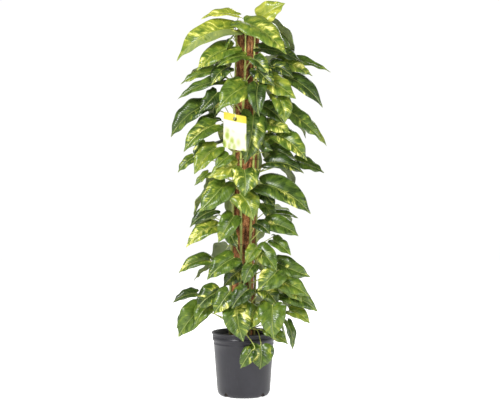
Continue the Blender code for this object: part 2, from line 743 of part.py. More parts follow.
def stalk_roots(leaf, drop, grown):
    """Places on the vines that a leaf's stalk could come from, the likeliest first."""
    bearing = bearing_of(leaf.joint)
    nearest = sorted(VINES, key=lambda vine: bearing_apart(vine[1], bearing))
    roots = []
    for lift in (0.0, -30.0, 30.0, -60.0, 55.0):
        for name, at, below_top in nearest[:3]:
            lowest = POT_HEIGHT + LOWEST_STALK
            height = min(max(leaf.joint.z - drop + lift, lowest), vine_top(below_top) - 8.0)
            centre = vine_point(name, at, height)
            way = (outward(bearing_of(centre)) + outward(bearing) * 0.8).normalized()
            start = 0.4 if grown else VINE_RADIUS + GAP + 0.9
            roots.append((name, centre + way * start, way))
    return roots


def place(leaf, obstacles, drop, grown):
    """Where a leaf clears all that is placed already: at its own place, or swung aside from it in small steps."""
    lifts, turns, depths = back_and_forth(24.0, 3), back_and_forth(5.0, 5), back_and_forth(8.0, 7)
    for lift, turn, depth in itertools.product(lifts, turns, depths):
        moved = leaf.swung(lift, turn, depth)
        for name, root, way in stalk_roots(moved, drop, grown):
            tree = BVHTree.FromPolygons(*moved.mesh(root, way, LEAF_EDGE_GAP))
            others = (other for key, other in obstacles if not (grown and key == name))
            if not any(tree.overlap(other) for other in others):
                return name, moved.mesh(root, way)
    raise RuntimeError(f"a leaf finds no clear place near {tuple(leaf.joint)}")


def back_rows(chance):
    """The leaves of the back half, as rows of a leaf table would give them."""
    rows = []
    for k in range(BACK_LEAVES):
        share = k / (BACK_LEAVES - 1)
        height = TABLE_RIM + BACK_LOWEST + (BACK_HIGHEST - BACK_LOWEST) * share
        swing_by = (k * GOLDEN_ANGLE) % 360.0 / 180.0 - 1.0
        bearing = BACK_MIDDLE + BACK_SPREAD * swing_by
        reach = chance.uniform(*BACK_REACH)
        length = chance.uniform(*BACK_LENGTH)
        dip = math.radians(chance.uniform(28.0, 62.0))
        aside = math.radians(bearing + chance.uniform(-35.0, 35.0))
        at = math.radians(bearing)
        joint = (reach * math.sin(at), reach * math.cos(at), height)
        run = length * math.cos(dip)
        tip = (joint[0] + run * math.sin(aside), joint[1] + run * math.cos(aside), height - length * math.sin(dip))
        rows.append((joint, tip, BACK_WIDTH_SHARE * length, (bearing, 38.0)))
    return rows


def tree_of(piece):
    """The finished surface of an object, for testing what would touch it."""
    shown = piece.evaluated_get(bpy.context.evaluated_depsgraph_get())
    mesh = shown.to_mesh()
    points = [v.co / MM for v in mesh.vertices]
    faces = [tuple(f.vertices) for f in mesh.polygons]
    shown.to_mesh_clear()
    return BVHTree.FromPolygons(points, faces)


def make_leaves(obstacles, vines, surface):
    chance = random.Random(7)
    for k, (joint, tip, width, face) in enumerate(SHOWN_LEAVES):
        leaf = Leaf(on_table(*joint), on_table(*tip), width, face, chance)
        drop = PETIOLE_DROP + chance.uniform(-15.0, 25.0)
        _, (points, faces) = place(leaf, obstacles, drop, grown=False)
        piece = add_object(f"leaf_{k + 1:02d}", points, faces, surface)
        smooth(piece, 60.0)
        obstacles.append((piece.name, BVHTree.FromPolygons(points, faces)))
    for k, (joint, tip, width, face) in enumerate(VINE_LEAVES + back_rows(chance)):
        leaf = Leaf(on_table(*joint), on_table(*tip), width, face, chance)
        drop = PETIOLE_DROP + chance.uniform(-15.0, 25.0)
        name, (points, faces) = place(leaf, obstacles, drop, grown=True)
        piece = add_object(f"grown_leaf_{k + 1:02d}", points, faces, surface)
        boolean(vines[name], piece, "UNION")
        obstacles.append((piece.name, BVHTree.FromPolygons(points, faces)))


def main():
    for old in list(bpy.data.objects):
        bpy.data.objects.remove(old)
    leaf_surface = material("pothos leaf", (0.065, 0.17, 0.022), 0.35)
    stem_surface = material("pothos stem", (0.30, 0.40, 0.11), 0.5)
    twine_surface = material("coir twine", (0.16, 0.075, 0.035), 0.95)
    pieces = [
        make_pot(material("moulded polypropylene", (0.06, 0.06, 0.065), 0.45)),
        make_soil(material("potting soil", (0.016, 0.011, 0.008), 0.95)),
        make_core(material("pine stake", (0.50, 0.36, 0.21), 0.7)),
        make_coir(material("coir fibre", (0.14, 0.058, 0.026), 0.95)),
        make_tag(material("printed card", (0.85, 0.85, 0.80), 0.45)),
        make_tag_loop(material("elastic cord", (0.75, 0.75, 0.72), 0.6)),
    ]
    for name, rise in TIE_HEIGHTS.items():
        pieces.append(make_tie(name, rise, twine_surface))
    vines = {}
    for name, bearing, below_top in VINES:
        path = vine_path(name, bearing, below_top)
        vines[name] = add_object(name, *tube(path, VINE_RADIUS, VINE_SIDES), stem_surface)
        smooth(vines[name], 60.0)
        pieces.append(vines[name])
    obstacles = [(piece.name, tree_of(piece)) for piece in pieces]
    make_leaves(obstacles, vines, leaf_surface)


main()
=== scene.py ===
# %% [markdown]
# # A pothos on a coir pole
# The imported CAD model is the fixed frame. Every piece below takes its place from it: the leaves are read from the
# CAD leaves, the stems from the CAD vines, and the rest from the boxes of their nodes. Lengths are worked out in
# metres, and a value in millimetres is named and multiplied by MM.

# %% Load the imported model
import math
import random

import bmesh
import bpy
import numpy as np
from mathutils import Matrix, Vector, noise


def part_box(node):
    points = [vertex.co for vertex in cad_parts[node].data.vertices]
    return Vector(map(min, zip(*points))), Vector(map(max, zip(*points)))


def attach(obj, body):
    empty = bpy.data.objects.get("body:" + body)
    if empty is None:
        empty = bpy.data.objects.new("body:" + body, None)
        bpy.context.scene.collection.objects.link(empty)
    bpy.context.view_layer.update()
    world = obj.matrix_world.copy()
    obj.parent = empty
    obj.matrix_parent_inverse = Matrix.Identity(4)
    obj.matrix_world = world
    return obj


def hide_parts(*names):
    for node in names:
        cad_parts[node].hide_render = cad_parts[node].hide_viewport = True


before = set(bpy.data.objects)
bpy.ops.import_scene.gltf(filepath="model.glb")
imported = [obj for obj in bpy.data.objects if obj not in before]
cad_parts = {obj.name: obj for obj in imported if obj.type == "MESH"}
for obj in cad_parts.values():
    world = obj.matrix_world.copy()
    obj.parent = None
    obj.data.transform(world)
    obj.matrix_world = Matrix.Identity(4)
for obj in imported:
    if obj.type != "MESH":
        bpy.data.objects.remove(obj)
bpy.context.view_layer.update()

MM = 0.001

# %% [markdown]
# ## Tools for materials
# Colours are written as the sRGB hex values that a colour picker shows, while shaders want linear light, so one
# function turns the one into the other. Another adds a node: its settings are keywords, a colour ramp's stops are a
# list, and its inputs are either plain values or other nodes, so that a whole material reads from top to bottom like
# a recipe.


# %% Colours, nodes and materials
def linear(code):
    """The linear RGBA of an sRGB hex value."""
    shares = [int(code[k:k + 2], 16) / 255.0 for k in (1, 3, 5)]
    return tuple(s / 12.92 if s <= 0.04045 else ((s + 0.055) / 1.055) ** 2.4 for s in shares) + (1.0,)


def plug(node, inputs):
    """Sets or links a node's inputs. A node among the values stands for its first output."""
    for key, value in inputs.items():
        value = value.outputs[0] if isinstance(value, bpy.types.Node) else value
        if isinstance(value, bpy.types.NodeSocket):
            node.id_data.links.new(value, node.inputs[key])
        else:
            node.inputs[key].default_value = value
    return node


def add(tree, kind, inputs=None, stops=(), **settings):
    """Adds a node with its settings, the (position, hex) stops of a colour ramp, and its inputs."""
    made = tree.nodes.new("ShaderNode" + kind)
    for key, value in settings.items():
        setattr(made, key, value)
    for k, (position, code) in enumerate(stops):
        elements = made.color_ramp.elements
        stop = elements[k] if k < 2 else elements.new(position)
        stop.position, stop.color = position, linear(code)
    return plug(made, inputs or {})


def new_material(name):
    """A material with a lone Principled shader: its node tree and the shader."""
    made = bpy.data.materials.new(name)
    made.use_nodes = True
    return made, made.node_tree, made.node_tree.nodes["Principled BSDF"]


print("leaf green in linear light", [round(c, 3) for c in linear("#3f6a1e")])

# %% [markdown]
# ## Tools for meshes
# Most of a plant is tubes and curved sheets. Both are grids of points: a tube is a grid whose columns close into
# rings, and a leaf is a grid from its joint to its tip. A Catmull-Rom curve passes through all of its points, so a
# few CAD points are enough to draw a smooth edge or stalk.


# %% Curves, grids and tubes
def spline(points, steps, before=None):
    """A smooth curve through the points, with so many steps from each to the next."""
    inner = np.asarray(points, float)
    first = 2.0 * inner[0] - inner[1] if before is None else np.asarray(before, float)
    p = np.vstack([first, inner, 2.0 * inner[-1] - inner[-2]])
    t = (np.arange(steps) / steps)[:, None]
    parts = []
    for a, b, c, d in zip(p, p[1:], p[2:], p[3:]):
        bend = (2.0 * a - 5.0 * b + 4.0 * c - d) * t**2 + (3.0 * b - a - 3.0 * c + d) * t**3
        parts.append(0.5 * (2.0 * b + (c - a) * t + bend))
    return np.vstack(parts + [inner[-1:]])


def grid_faces(rows, columns, start=0, closed=False, flip=False):
    """The quads of a grid of points that is numbered row by row."""
    across = columns if closed else columns - 1
    r, c = np.meshgrid(np.arange(rows - 1), np.arange(across), indexing="ij")
    n = (c + 1) % columns
    quads = np.stack([r * columns + c, r * columns + n, (r + 1) * columns + n, (r + 1) * columns + c], -1)
    quads = quads.reshape(-1, 4) + start
    return quads[:, ::-1] if flip else quads


def barrel(rows, columns):
    """The faces of a grid whose columns close into rings, with a lid on each end."""
    last = (rows - 1) * columns
    lids = [list(range(columns))[::-1], list(range(last, last + columns))]
    return grid_faces(rows, columns, closed=True).tolist() + lids


def two_skins(rows, columns, turned=False):
    """The faces of a sheet with thickness: a grid, a second one behind it, and a band round their rim."""
    count = rows * columns
    index = np.arange(count).reshape(rows, columns)
    rim = np.concatenate([index[0], index[1:, -1], index[-1, -2::-1], index[-2:0:-1, 0]])
    ahead = np.roll(rim, -1)
    band = np.stack([rim, rim + count, ahead + count, ahead], -1)
    skins = [grid_faces(rows, columns, flip=turned), grid_faces(rows, columns, start=count, flip=not turned)]
    return np.vstack([*skins, band[:, ::-1] if turned else band]).tolist()


def unit(v):
    return v / np.maximum(np.linalg.norm(v, axis=-1, keepdims=True), 1e-12)


def tube(path, radius, sides):
    """A closed round tube along a path, as points and faces. Radius is a number, or one for each point."""
    path = np.asarray(path, float)
    along = unit(np.gradient(path, axis=0))
    radius = np.broadcast_to(radius, len(path))
    flat = unit(np.cross(along[0], [0.31, 0.95, 0.07]))
    rings = []
    for point, way, r in zip(path, along, radius):
        flat = unit(flat - way * flat.dot(way))
        high = np.cross(way, flat)
        angle = np.arange(sides) * math.tau / sides
        rings.append(point + r * (np.cos(angle)[:, None] * flat + np.sin(angle)[:, None] * high))
    return np.vstack(rings), barrel(len(path), sides)


def ring_point(middle, reach, angle, z):
    """The point at a distance and an angle from a middle, at a height."""
    return middle[0] + reach * math.cos(angle), middle[1] + reach * math.sin(angle), z


def link(name, data):
    """A new object with this data, in the scene."""
    made = bpy.data.objects.new(name, data)
    bpy.context.scene.collection.objects.link(made)
    return made


class Shape:
    """Gathers points, faces, material numbers and the numbers painted on the points, for one mesh."""

    def __init__(self):
        self.points, self.faces, self.kinds, self.paint, self.vein = [], [], [], [], []
        self.count = 0

    def take(self, points, faces, kind=0, paint=None, vein=None):
        count = len(points)
        self.points.append(np.asarray(points, float))
        self.faces += [[i + self.count for i in face] for face in faces]
        self.kinds += [kind] * len(faces)
        self.paint.append(np.zeros((count, 3)) if paint is None else paint)
        self.vein.append(np.zeros((count, 3)) if vein is None else vein)
        self.count += count

    def piece(self, name, materials, sharp=40.0):
        """The mesh as an object, smooth but for edges sharper than an angle in degrees."""
        mesh = bpy.data.meshes.new(name)
        mesh.from_pydata(np.vstack(self.points).tolist(), [], self.faces)
        for finish in materials:
            mesh.materials.append(finish)
        mesh.polygons.foreach_set("material_index", self.kinds)
        mesh.polygons.foreach_set("use_smooth", [True] * len(self.faces))
        for label, rows in (("paint", self.paint), ("vein", self.vein)):
            layer = mesh.attributes.new(label, "FLOAT_VECTOR", "POINT")
            layer.data.foreach_set("vector", np.vstack(rows).ravel())
        mesh.set_sharp_from_angle(angle=math.radians(sharp))
        return link(name, mesh)


def settle(piece, slot, *nodes):
    """The piece stands for CAD nodes and moves with the plant. The slot is not used."""
    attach(piece, "root")
    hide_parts(*nodes)
    print(piece.name, len(piece.data.polygons), "faces")


# %% [markdown]
# ## The grower's pot
# The real pot is injection-moulded polypropylene: one thin shell with a bead and a band at its rim, a tapered wall
# and a rounded foot with drain notches. The mould gives it a satin face, a little duller where it has been handled.
# A profile turned about the axis is the shortest way to make it, and small cutters take out the notches, as the
# mould's inserts do.

# %% The plastic's finish
pot_plastic, tree, shader = new_material("injection-moulded charcoal polypropylene")
place = add(tree, "TexCoord").outputs["Object"]
handling = add(tree, "TexNoise", {"Vector": place, "Scale": 14.0, "Detail": 4.0, "Roughness": 0.6})
flow_lines = add(tree, "Mapping", {"Vector": place, "Scale": (160.0, 160.0, 7.0)})
flow = add(tree, "TexNoise", {"Vector": flow_lines, "Scale": 1.0, "Detail": 2.0})
tint = add(tree, "ValToRGB", {0: handling}, [(0.30, "#1f1e23"), (0.70, "#29282e")])
dust = add(tree, "MapRange", {0: flow, 1: 0.62, 2: 0.86, 3: 0.0, 4: 0.35})
GRAIN = 1.0 / (0.9 * MM)  # the mould's fine grain, about 0.9 mm from bump to bump
grain = add(tree, "TexNoise", {"Vector": place, "Scale": GRAIN, "Detail": 2.0})
plug(shader, {
    "Base Color": add(tree, "Mix", {0: dust, 6: tint, 7: linear("#413f46")}, data_type="RGBA").outputs[2],
    "Roughness": add(tree, "MapRange", {0: handling, 1: 0.3, 2: 0.7, 3: 0.30, 4: 0.44}),
    "Normal": add(tree, "Bump", {"Height": grain, "Strength": 0.10, "Distance": 0.2 * MM}),
    "IOR": 1.49,
    "Specular IOR Level": 0.35,
})
print(pot_plastic.name, "with mould grain of 0.9 mm")

# %% The turned shell
POT_SIDES, LONGEST_STRIP = 128, 24.0 * MM
rim_radius, _, rim_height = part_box("pot")[1]
BEAD, BEAD_PROUD, BAND, BAND_PROUD = 7.0 * MM, 3.0 * MM, 32.0 * MM, 3.5 * MM
TAPER, HEEL, HEEL_INSET, WALL, FLOOR = 14.0 * MM, 25.0 * MM, 17.0 * MM, 2.2 * MM, 3.0 * MM
band_radius, band_foot, bead_foot = rim_radius - BEAD_PROUD, rim_height - BAND, rim_height - BEAD
wall_top = band_radius - BAND_PROUD
wall_foot = wall_top - TAPER
foot = wall_foot - HEEL_INSET
outline = [(0.0, 1.6 * MM), (0.80 * foot, 1.6 * MM), (foot - 2.0 * MM, 0.4 * MM)]
for turn in np.radians(range(0, 91, 15)):
    outline.append((wall_foot - HEEL_INSET * (1.0 - math.sin(turn)), HEEL * (1.0 - math.cos(turn))))
# The mould's steps, each so many millimetres out from a radius and up from a height: a ring, the band, the bead.
for radius, height, steps in (
    (wall_top, band_foot, [(-1.2, -15.0), (0.0, -13.8), (0.0, -11.6), (-0.8, -10.4), (-0.2, -1.5), (0.8, -0.4)]),
    (band_radius, band_foot, [(-0.8, 0.6), (0.0, 2.2), (0.0, 12.0), (-1.6, 13.4), (-1.6, 15.2), (0.4, 16.8)]),
    (band_radius, bead_foot, [(0.0, -1.2)]),
    (rim_radius, bead_foot, [(-1.0, 0.0), (0.0, 1.6)]),
    (rim_radius, rim_height, [(0.0, -2.0), (-1.2, -0.4), (-3.0, 0.0), (-5.4, -0.6), (-6.4, -2.4)]),
):
    outline += [(radius + out * MM, height + up * MM) for out, up in steps]
outline += [(wall_top - WALL, band_foot), (wall_foot - WALL, HEEL), (foot, FLOOR + 3.0 * MM), (0.0, FLOOR + 2.0 * MM)]
profile = []
for (r0, z0), (r1, z1) in zip(outline, outline[1:]):
    parts = max(1, round(math.hypot(r1 - r0, z1 - z0) / LONGEST_STRIP))
    profile += [(r0 + (r1 - r0) * k / parts, z0 + (z1 - z0) * k / parts) for k in range(parts)]
radii, heights = np.hsplit(np.array(profile[1:]), 2)
turn = np.arange(POT_SIDES) * math.tau / POT_SIDES
rings = np.stack([radii * np.cos(turn), radii * np.sin(turn), np.repeat(heights, POT_SIDES, 1)], -1)
shell = Shape()
shell.take(rings.reshape(-1, 3), barrel(len(rings), POT_SIDES))
pot = shell.piece("growers_pot", [pot_plastic], sharp=50.0)
print("pot", round(2000 * rim_radius), "mm across,", round(1000 * rim_height), "mm high")


# %% The drain notches
def cut(piece, cutter, sharp):
    """Takes the cutter out of the piece, removes it, and marks the sharp edges anew."""
    tool = piece.modifiers.new("cut", "BOOLEAN")
    tool.operation, tool.solver, tool.object = "DIFFERENCE", "EXACT", cutter
    bpy.context.view_layer.update()
    graph = bpy.context.evaluated_depsgraph_get()
    mesh = bpy.data.meshes.new_from_object(piece.evaluated_get(graph), preserve_all_data_layers=True, depsgraph=graph)
    piece.modifiers.clear()
    piece.data = mesh
    mesh.set_sharp_from_angle(angle=math.radians(sharp))
    bpy.data.objects.remove(cutter)


NOTCH_BEARINGS = (-42.0, 48.0, 138.0, 228.0)  # degrees round from the front
NOTCH_WIDTH, NOTCH_HEIGHT = 24.0 * MM, 19.0 * MM
BELOW = np.array([0.0, 0.0, 9.0 * MM])  # the cutter starts well below the pot
for bearing in np.radians(NOTCH_BEARINGS):
    way = np.array([math.sin(bearing), -math.cos(bearing), 0.0])
    half = np.array([-way[1], way[0], 0.0]) * NOTCH_WIDTH / 2.0
    arch = [
        half * math.cos(a) + [0.0, 0.0, NOTCH_HEIGHT * math.sin(a) - 1.0 * MM] for a in np.radians(range(0, 181, 15))
    ]
    outline = np.array([half - BELOW, *arch, -half - BELOW])
    block = Shape()
    ends = [outline + way * (foot - 4.0 * MM), outline + way * (wall_foot + 12.0 * MM)]
    block.take(np.vstack(ends), barrel(2, len(outline)))
    cut(pot, block.piece("notch", []), 50.0)
settle(pot, "pot_plastic", "pot")

# %% [markdown]
# ## The potting soil
# A pothos stands in a peaty mix, nearly black when it is damp, with crumbs and bits of bark on top. The surface is a
# disc of rings moved up and down by noise at three sizes: hollows left by watering, clods, and crumbs of a few
# millimetres. Loose crumbs lie on it, because a displaced sheet alone looks like cloth.

# %% Damp peat
potting_soil, tree, shader = new_material("damp peat potting mix")
place = add(tree, "TexCoord").outputs["Object"]
CRUMB = 1.0 / (4.0 * MM)  # crumbs about 4 mm across
crumbs = add(tree, "TexVoronoi", {"Vector": place, "Scale": CRUMB})
specks = add(tree, "TexNoise", {"Vector": place, "Scale": CRUMB * 2.0, "Detail": 5.0, "Roughness": 0.7})
height = add(tree, "Math", {0: crumbs, 1: specks}, operation="ADD")
plug(shader, {
    "Base Color": add(tree, "ValToRGB", {0: specks}, [(0.30, "#0f0b08"), (0.56, "#221811"), (0.75, "#3a2a1d")]),
    "Roughness": 0.95,
    "Normal": add(tree, "Bump", {"Height": height, "Strength": 0.8, "Distance": 1.2 * MM}),
})
print(potting_soil.name, "crumbs 4 mm")

# %% The soil's surface and crumbs
SOIL_RINGS, SOIL_SIDES, CRUMBS = 40, 120, 260
HEAPS = (28.0, 2.6), (190.0, 1.5), (480.0, 0.7)  # hollows, clods and crumbs: so many to a metre, so many mm high
low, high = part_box("soil")
soil_radius, soil_top = high.x - 0.3 * MM, high.z
reach = np.linspace(0.0, 1.0, SOIL_RINGS) ** 0.8 * soil_radius
turn = np.arange(SOIL_SIDES) * math.tau / SOIL_SIDES
x, y = reach[:, None] * np.cos(turn), reach[:, None] * np.sin(turn)
z = np.empty_like(x)
for spot in np.ndindex(x.shape):
    at = Vector((x[spot], y[spot], 0.0))
    z[spot] = sum(noise.noise(at * pace) * tall for pace, tall in HEAPS)
points = np.stack([x, y, soil_top - 2.4 * MM + z * MM], -1)
wall = [(soil_radius, soil_top - 30.0 * MM), (wall_foot - WALL - 1.0 * MM, low.z + 12.0 * MM)]
wall.append((wall_foot - 12.0 * MM, low.z))
skirt = np.stack([np.stack([r * np.cos(turn), r * np.sin(turn), np.full(SOIL_SIDES, h)], -1) for r, h in wall])
ground = Shape()
faces = barrel(SOIL_RINGS + len(wall), SOIL_SIDES)
del faces[-2]  # the first ring is a point and needs no lid
ground.take(np.concatenate([points, skirt]).reshape(-1, 3), faces)
chance = random.Random(3)
for _ in range(CRUMBS):
    around, out = chance.uniform(0.0, math.tau), math.sqrt(chance.uniform(0.16, 0.93)) * soil_radius
    size = chance.uniform(1.0, 3.4) * MM
    lump = bmesh.new()
    bmesh.ops.create_icosphere(lump, subdivisions=1, radius=size)
    stretch = [chance.uniform(0.6, 1.5) for _ in range(3)]
    bits = np.array([[c * s * chance.uniform(0.8, 1.2) for c, s in zip(v.co, stretch)] for v in lump.verts])
    centre = ring_point((0.0, 0.0), out, around, soil_top - 1.6 * MM)
    ground.take(bits + centre, [[v.index for v in f.verts] for f in lump.faces])
    lump.free()
settle(ground.piece("potting_soil", [potting_soil], sharp=60.0), "potting_soil", "soil")
print("soil lies", round(1000 * (rim_height - soil_top)), "mm below the rim")

# %% [markdown]
# ## The coir pole
# The pole is a stake wrapped in coir, the brown fibre of coconut husk. The wrap is lumpy, with hollows between the
# bundles, and its fibres cross each other and stick out. Three layers make it: a sleeve moved in and out by noise
# that is stretched along the pole, a shader whose two sets of streaks cross and which paints shade into the hollows,
# and over a thousand loose fibres.

# %% Coir fibre
coir_fibre, tree, shader = new_material("combed coconut coir")
place = add(tree, "TexCoord").outputs["Object"]
FIBRE = 1.0 / (2.2 * MM)  # bundles of fibre about 2 mm wide, drawn coarser than one 0.3 mm fibre so that they show
streaks = []
for lean in (0.5, -0.6):
    turned_place = add(tree, "Mapping", {"Vector": place, "Rotation": (lean * 0.5, lean, 0.0)})
    thin = add(tree, "Mapping", {"Vector": turned_place, "Scale": (FIBRE, FIBRE, FIBRE / 9.0)})
    streaks.append(add(tree, "TexNoise", {"Vector": thin, "Scale": 1.0, "Detail": 3.0, "Roughness": 0.65}))
crossed = add(tree, "Math", {0: streaks[0], 1: streaks[1]}, operation="MAXIMUM")
patches = add(tree, "TexNoise", {"Vector": place, "Scale": 38.0, "Detail": 3.0})
shade = add(tree, "Math", {0: patches, 1: 0.60, 2: -0.25}, operation="MULTIPLY_ADD")
sum_up = add(tree, "Math", {0: crossed, 1: shade}, operation="ADD")
husk_browns = [(0.40, "#160b05"), (0.50, "#6a3c1f"), (0.64, "#ad7345"), (0.80, "#d6a674")]
husk = add(tree, "ValToRGB", {0: sum_up}, husk_browns)
# Painted shade: the deeper a point lies in a hollow, the nearer its colour is drawn to the dark brown #170b05.
hollow = add(tree, "SeparateXYZ", {0: add(tree, "Attribute", attribute_name="paint").outputs["Vector"]})
painted_hollow_shade = add(tree, "MapRange", {0: hollow, 1: 0.25, 2: 0.80, 3: 0.0, 4: 0.90})
plug(shader, {
    "Base Color": add(tree, "Mix", {0: painted_hollow_shade, 6: husk, 7: linear("#170b05")}, data_type="RGBA").outputs[2],
    "Roughness": 0.85,
    "Specular IOR Level": 0.3,
    "Normal": add(tree, "Bump", {"Height": crossed, "Strength": 1.0, "Distance": 2.4 * MM}),
})
print(coir_fibre.name, "bundles 2.2 mm")

# %% The sleeve
# The pole's axis goes through the middles of the CAD sleeve's lowest and highest rings.
sleeve = np.array([v.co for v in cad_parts["coir_sleeve"].data.vertices])
sleeve_low, sleeve_high = sleeve[:, 2].min(), sleeve[:, 2].max()


def ring_middle(at):
    near = sleeve[np.abs(sleeve[:, 2] - at) < 2.0 * MM]
    return (near.min(0) + near.max(0)) / 2.0


bottom_middle, top_middle = ring_middle(sleeve_low), ring_middle(sleeve_high)


def pole_axis(height):
    share = (height - sleeve_low) / (sleeve_high - sleeve_low)
    return bottom_middle + (top_middle - bottom_middle) * share


pole_radius = np.hypot(*(sleeve - np.array([pole_axis(z) for z in sleeve[:, 2]]))[:, :2].T).max()
core_low, core_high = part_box("pole_core")
core_radius = (core_high.x - core_low.x) / 2.0
AROUND, UP_THE_POLE, DEEPEST = 128, 420, 7.5  # the deepest hollow is 7.5 mm
turn = np.arange(AROUND) * math.tau / AROUND
# How deep each point lies, up to DEEPEST, sets how much shade is painted on it.
points, hollow_shade = [], []
for z in np.linspace(sleeve_low, sleeve_high, UP_THE_POLE):
    middle = pole_axis(z)
    for a in turn:
        x, y = Vector((math.cos(a), math.sin(a)))
        lump = noise.fractal(Vector((x * 3.0, y * 3.0, z * 13.0)), 0.8, 2.0, 3)
        strand = noise.noise(Vector((x * 9.0, y * 9.0, z * 60.0)))
        strand += 0.6 * noise.noise(Vector((x * 20.0, y * 20.0, z * 42.0)))
        inward = min(max(2.3 - 6.0 * lump - 1.3 * strand, 0.0), DEEPEST)
        hollow_shade.append(inward / DEEPEST)
        points.append(ring_point(middle, pole_radius - inward * MM, a, z))
bore = core_radius + 0.4 * MM
# Four rings close the top as far as the stake, and a last one goes down beside it. The top rings get a little painted
# shade, and the ring beside the stake the darkest.
for share in (0.97, 0.88, 0.70, 0.46):
    reach = core_radius + (pole_radius - core_radius) * share if share > 0.5 else bore
    level = sleeve_high - (0.0 if share < 0.9 else 1.0) * MM
    for a in turn:
        rough = noise.noise(Vector((math.cos(a) * 6.0, math.sin(a) * 6.0, share * 9.0)))
        points.append(ring_point(top_middle, reach, a, level + rough * 0.8 * MM))
        hollow_shade.append(0.3)
points += [ring_point(top_middle, bore, a, sleeve_high - 40.0 * MM) for a in turn]
hollow_shade += [1.0] * AROUND
wrap = Shape()
wrap.take(points, grid_faces(len(points) // AROUND, AROUND, closed=True).tolist(), 0, np.column_stack([hollow_shade] * 3))
print("pole", round(2000 * pole_radius), "mm across,", round(1000 * (sleeve_high - sleeve_low)), "mm of coir")

# %% Loose fibres
LOOSE_FIBRES, FIBRE_RADIUS = 1300, 0.28 * MM
chance = random.Random(11)
for _ in range(LOOSE_FIBRES):
    z = chance.uniform(soil_top + 5.0 * MM, sleeve_high - 12.0 * MM)
    a = chance.uniform(0.0, math.tau)
    length, lean = chance.uniform(14.0, 42.0) * MM, chance.uniform(-1.2, 1.2)
    lift, curl = chance.uniform(0.0, 5.5) * MM, chance.uniform(-0.5, 0.5)
    path = []
    for k in range(6):
        t = k / 5.0
        height = z + length * t * math.cos(lean)
        reach = pole_radius - 1.2 * MM + lift * math.sin(math.pi * min(t * 0.8 + 0.1, 1.0)) * (0.3 + t)
        around = a + length * t * math.sin(lean) / pole_radius + curl * t * t * 0.3
        path.append(ring_point(pole_axis(height), reach, around, min(height, sleeve_high)))
    wrap.take(*tube(path, FIBRE_RADIUS * np.linspace(1.0, 0.5, 6), 3))
settle(wrap.piece("coir_wrap", [coir_fibre], sharp=80.0), "coir_fibre", "coir_sleeve")

# %% [markdown]
# ## The stake and the twine
# The stake shows only as a round end inside the top of the wrap, where sawn pine has the rings of its growth. The
# twine rings that hold the fibre and the stems look hairy, with a ply that crosses them. They keep their CAD shape: a
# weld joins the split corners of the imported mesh, and a subdivision rounds the square tube.

# %% Stake, twine and their finishes
pine, tree, shader = new_material("sawn pine")
place = add(tree, "TexCoord").outputs["Object"]
RING = 1.0 / (3.0 * MM)  # growth rings 3 mm apart
growth = {"Vector": place, "Scale": RING / 20.0, "Distortion": 2.0, "Detail": 2.0}
growth_rings = add(tree, "TexWave", growth, wave_type="RINGS", rings_direction="Z")
wood = add(tree, "ValToRGB", {0: growth_rings}, [(0.2, "#b08556"), (0.9, "#8a6038")])
plug(shader, {"Base Color": wood, "Roughness": 0.7})


def finish_node(node, finish):
    """Gives a CAD node its finish, and returns its object."""
    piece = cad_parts[node]
    piece.data.materials.clear()
    piece.data.materials.append(finish)
    return piece


finish_node("pole_core", pine)

twine, tree, shader = new_material("twisted coir twine")
place = add(tree, "TexCoord").outputs["Object"]
PLY = 1.0 / (3.0 * MM)  # the two plies cross the twine every 3 mm
twist = {"Vector": place, "Scale": PLY / 6.0, "Distortion": 1.2, "Detail": 2.0}
plies = add(tree, "TexWave", twist, bands_direction="DIAGONAL")
fuzz = add(tree, "TexNoise", {"Vector": place, "Scale": PLY * 3.0, "Detail": 3.0})
both = add(tree, "Math", {0: plies, 1: fuzz}, operation="MULTIPLY")
plug(shader, {
    "Base Color": add(tree, "ValToRGB", {0: both}, [(0.1, "#3c2315"), (0.7, "#a0714a")]),
    "Roughness": 0.9,
    "Normal": add(tree, "Bump", {"Height": both, "Strength": 0.9, "Distance": 0.8 * MM}),
})


def rounded(node, finish):
    """Gives a CAD node a finish, rounds it with modifiers and smooths it."""
    piece = finish_node(node, finish)
    piece.modifiers.new("join", "WELD").merge_threshold = 0.01 * MM
    smooth = piece.modifiers.new("round", "SUBSURF")
    smooth.levels = smooth.render_levels = 2
    piece.data.polygons.foreach_set("use_smooth", [True] * len(piece.data.polygons))


TIES = ("tie_lower", "tie_middle", "tie_upper")
for node in TIES:
    rounded(node, twine)
print("twine on", len(TIES), "ties, stake", round(2000 * core_radius), "mm thick")

# %% [markdown]
# ## Reading the leaves
# Each CAD leaf is a thin wedge with a knife edge all round, so its outline is found as the chain of edges whose two
# faces nearly turn back on each other. The points beside that chain, in order from the tip, are the midrib's upper
# and lower points. Behind the joint come the rings of the stalk. The fine leaf is then drawn on those few points,
# which keeps it exactly where the solid is.

# %% Outline, midrib and stalk of every leaf
STATIONS = 7


def beside(points):
    """The neighbours of some points of a mesh, without themselves."""
    points = set(points)
    return {edge.other_vert(v) for v in points for edge in v.link_edges} - points


def middle_of(points):
    return np.mean([np.array(v.co) for v in points], axis=0)


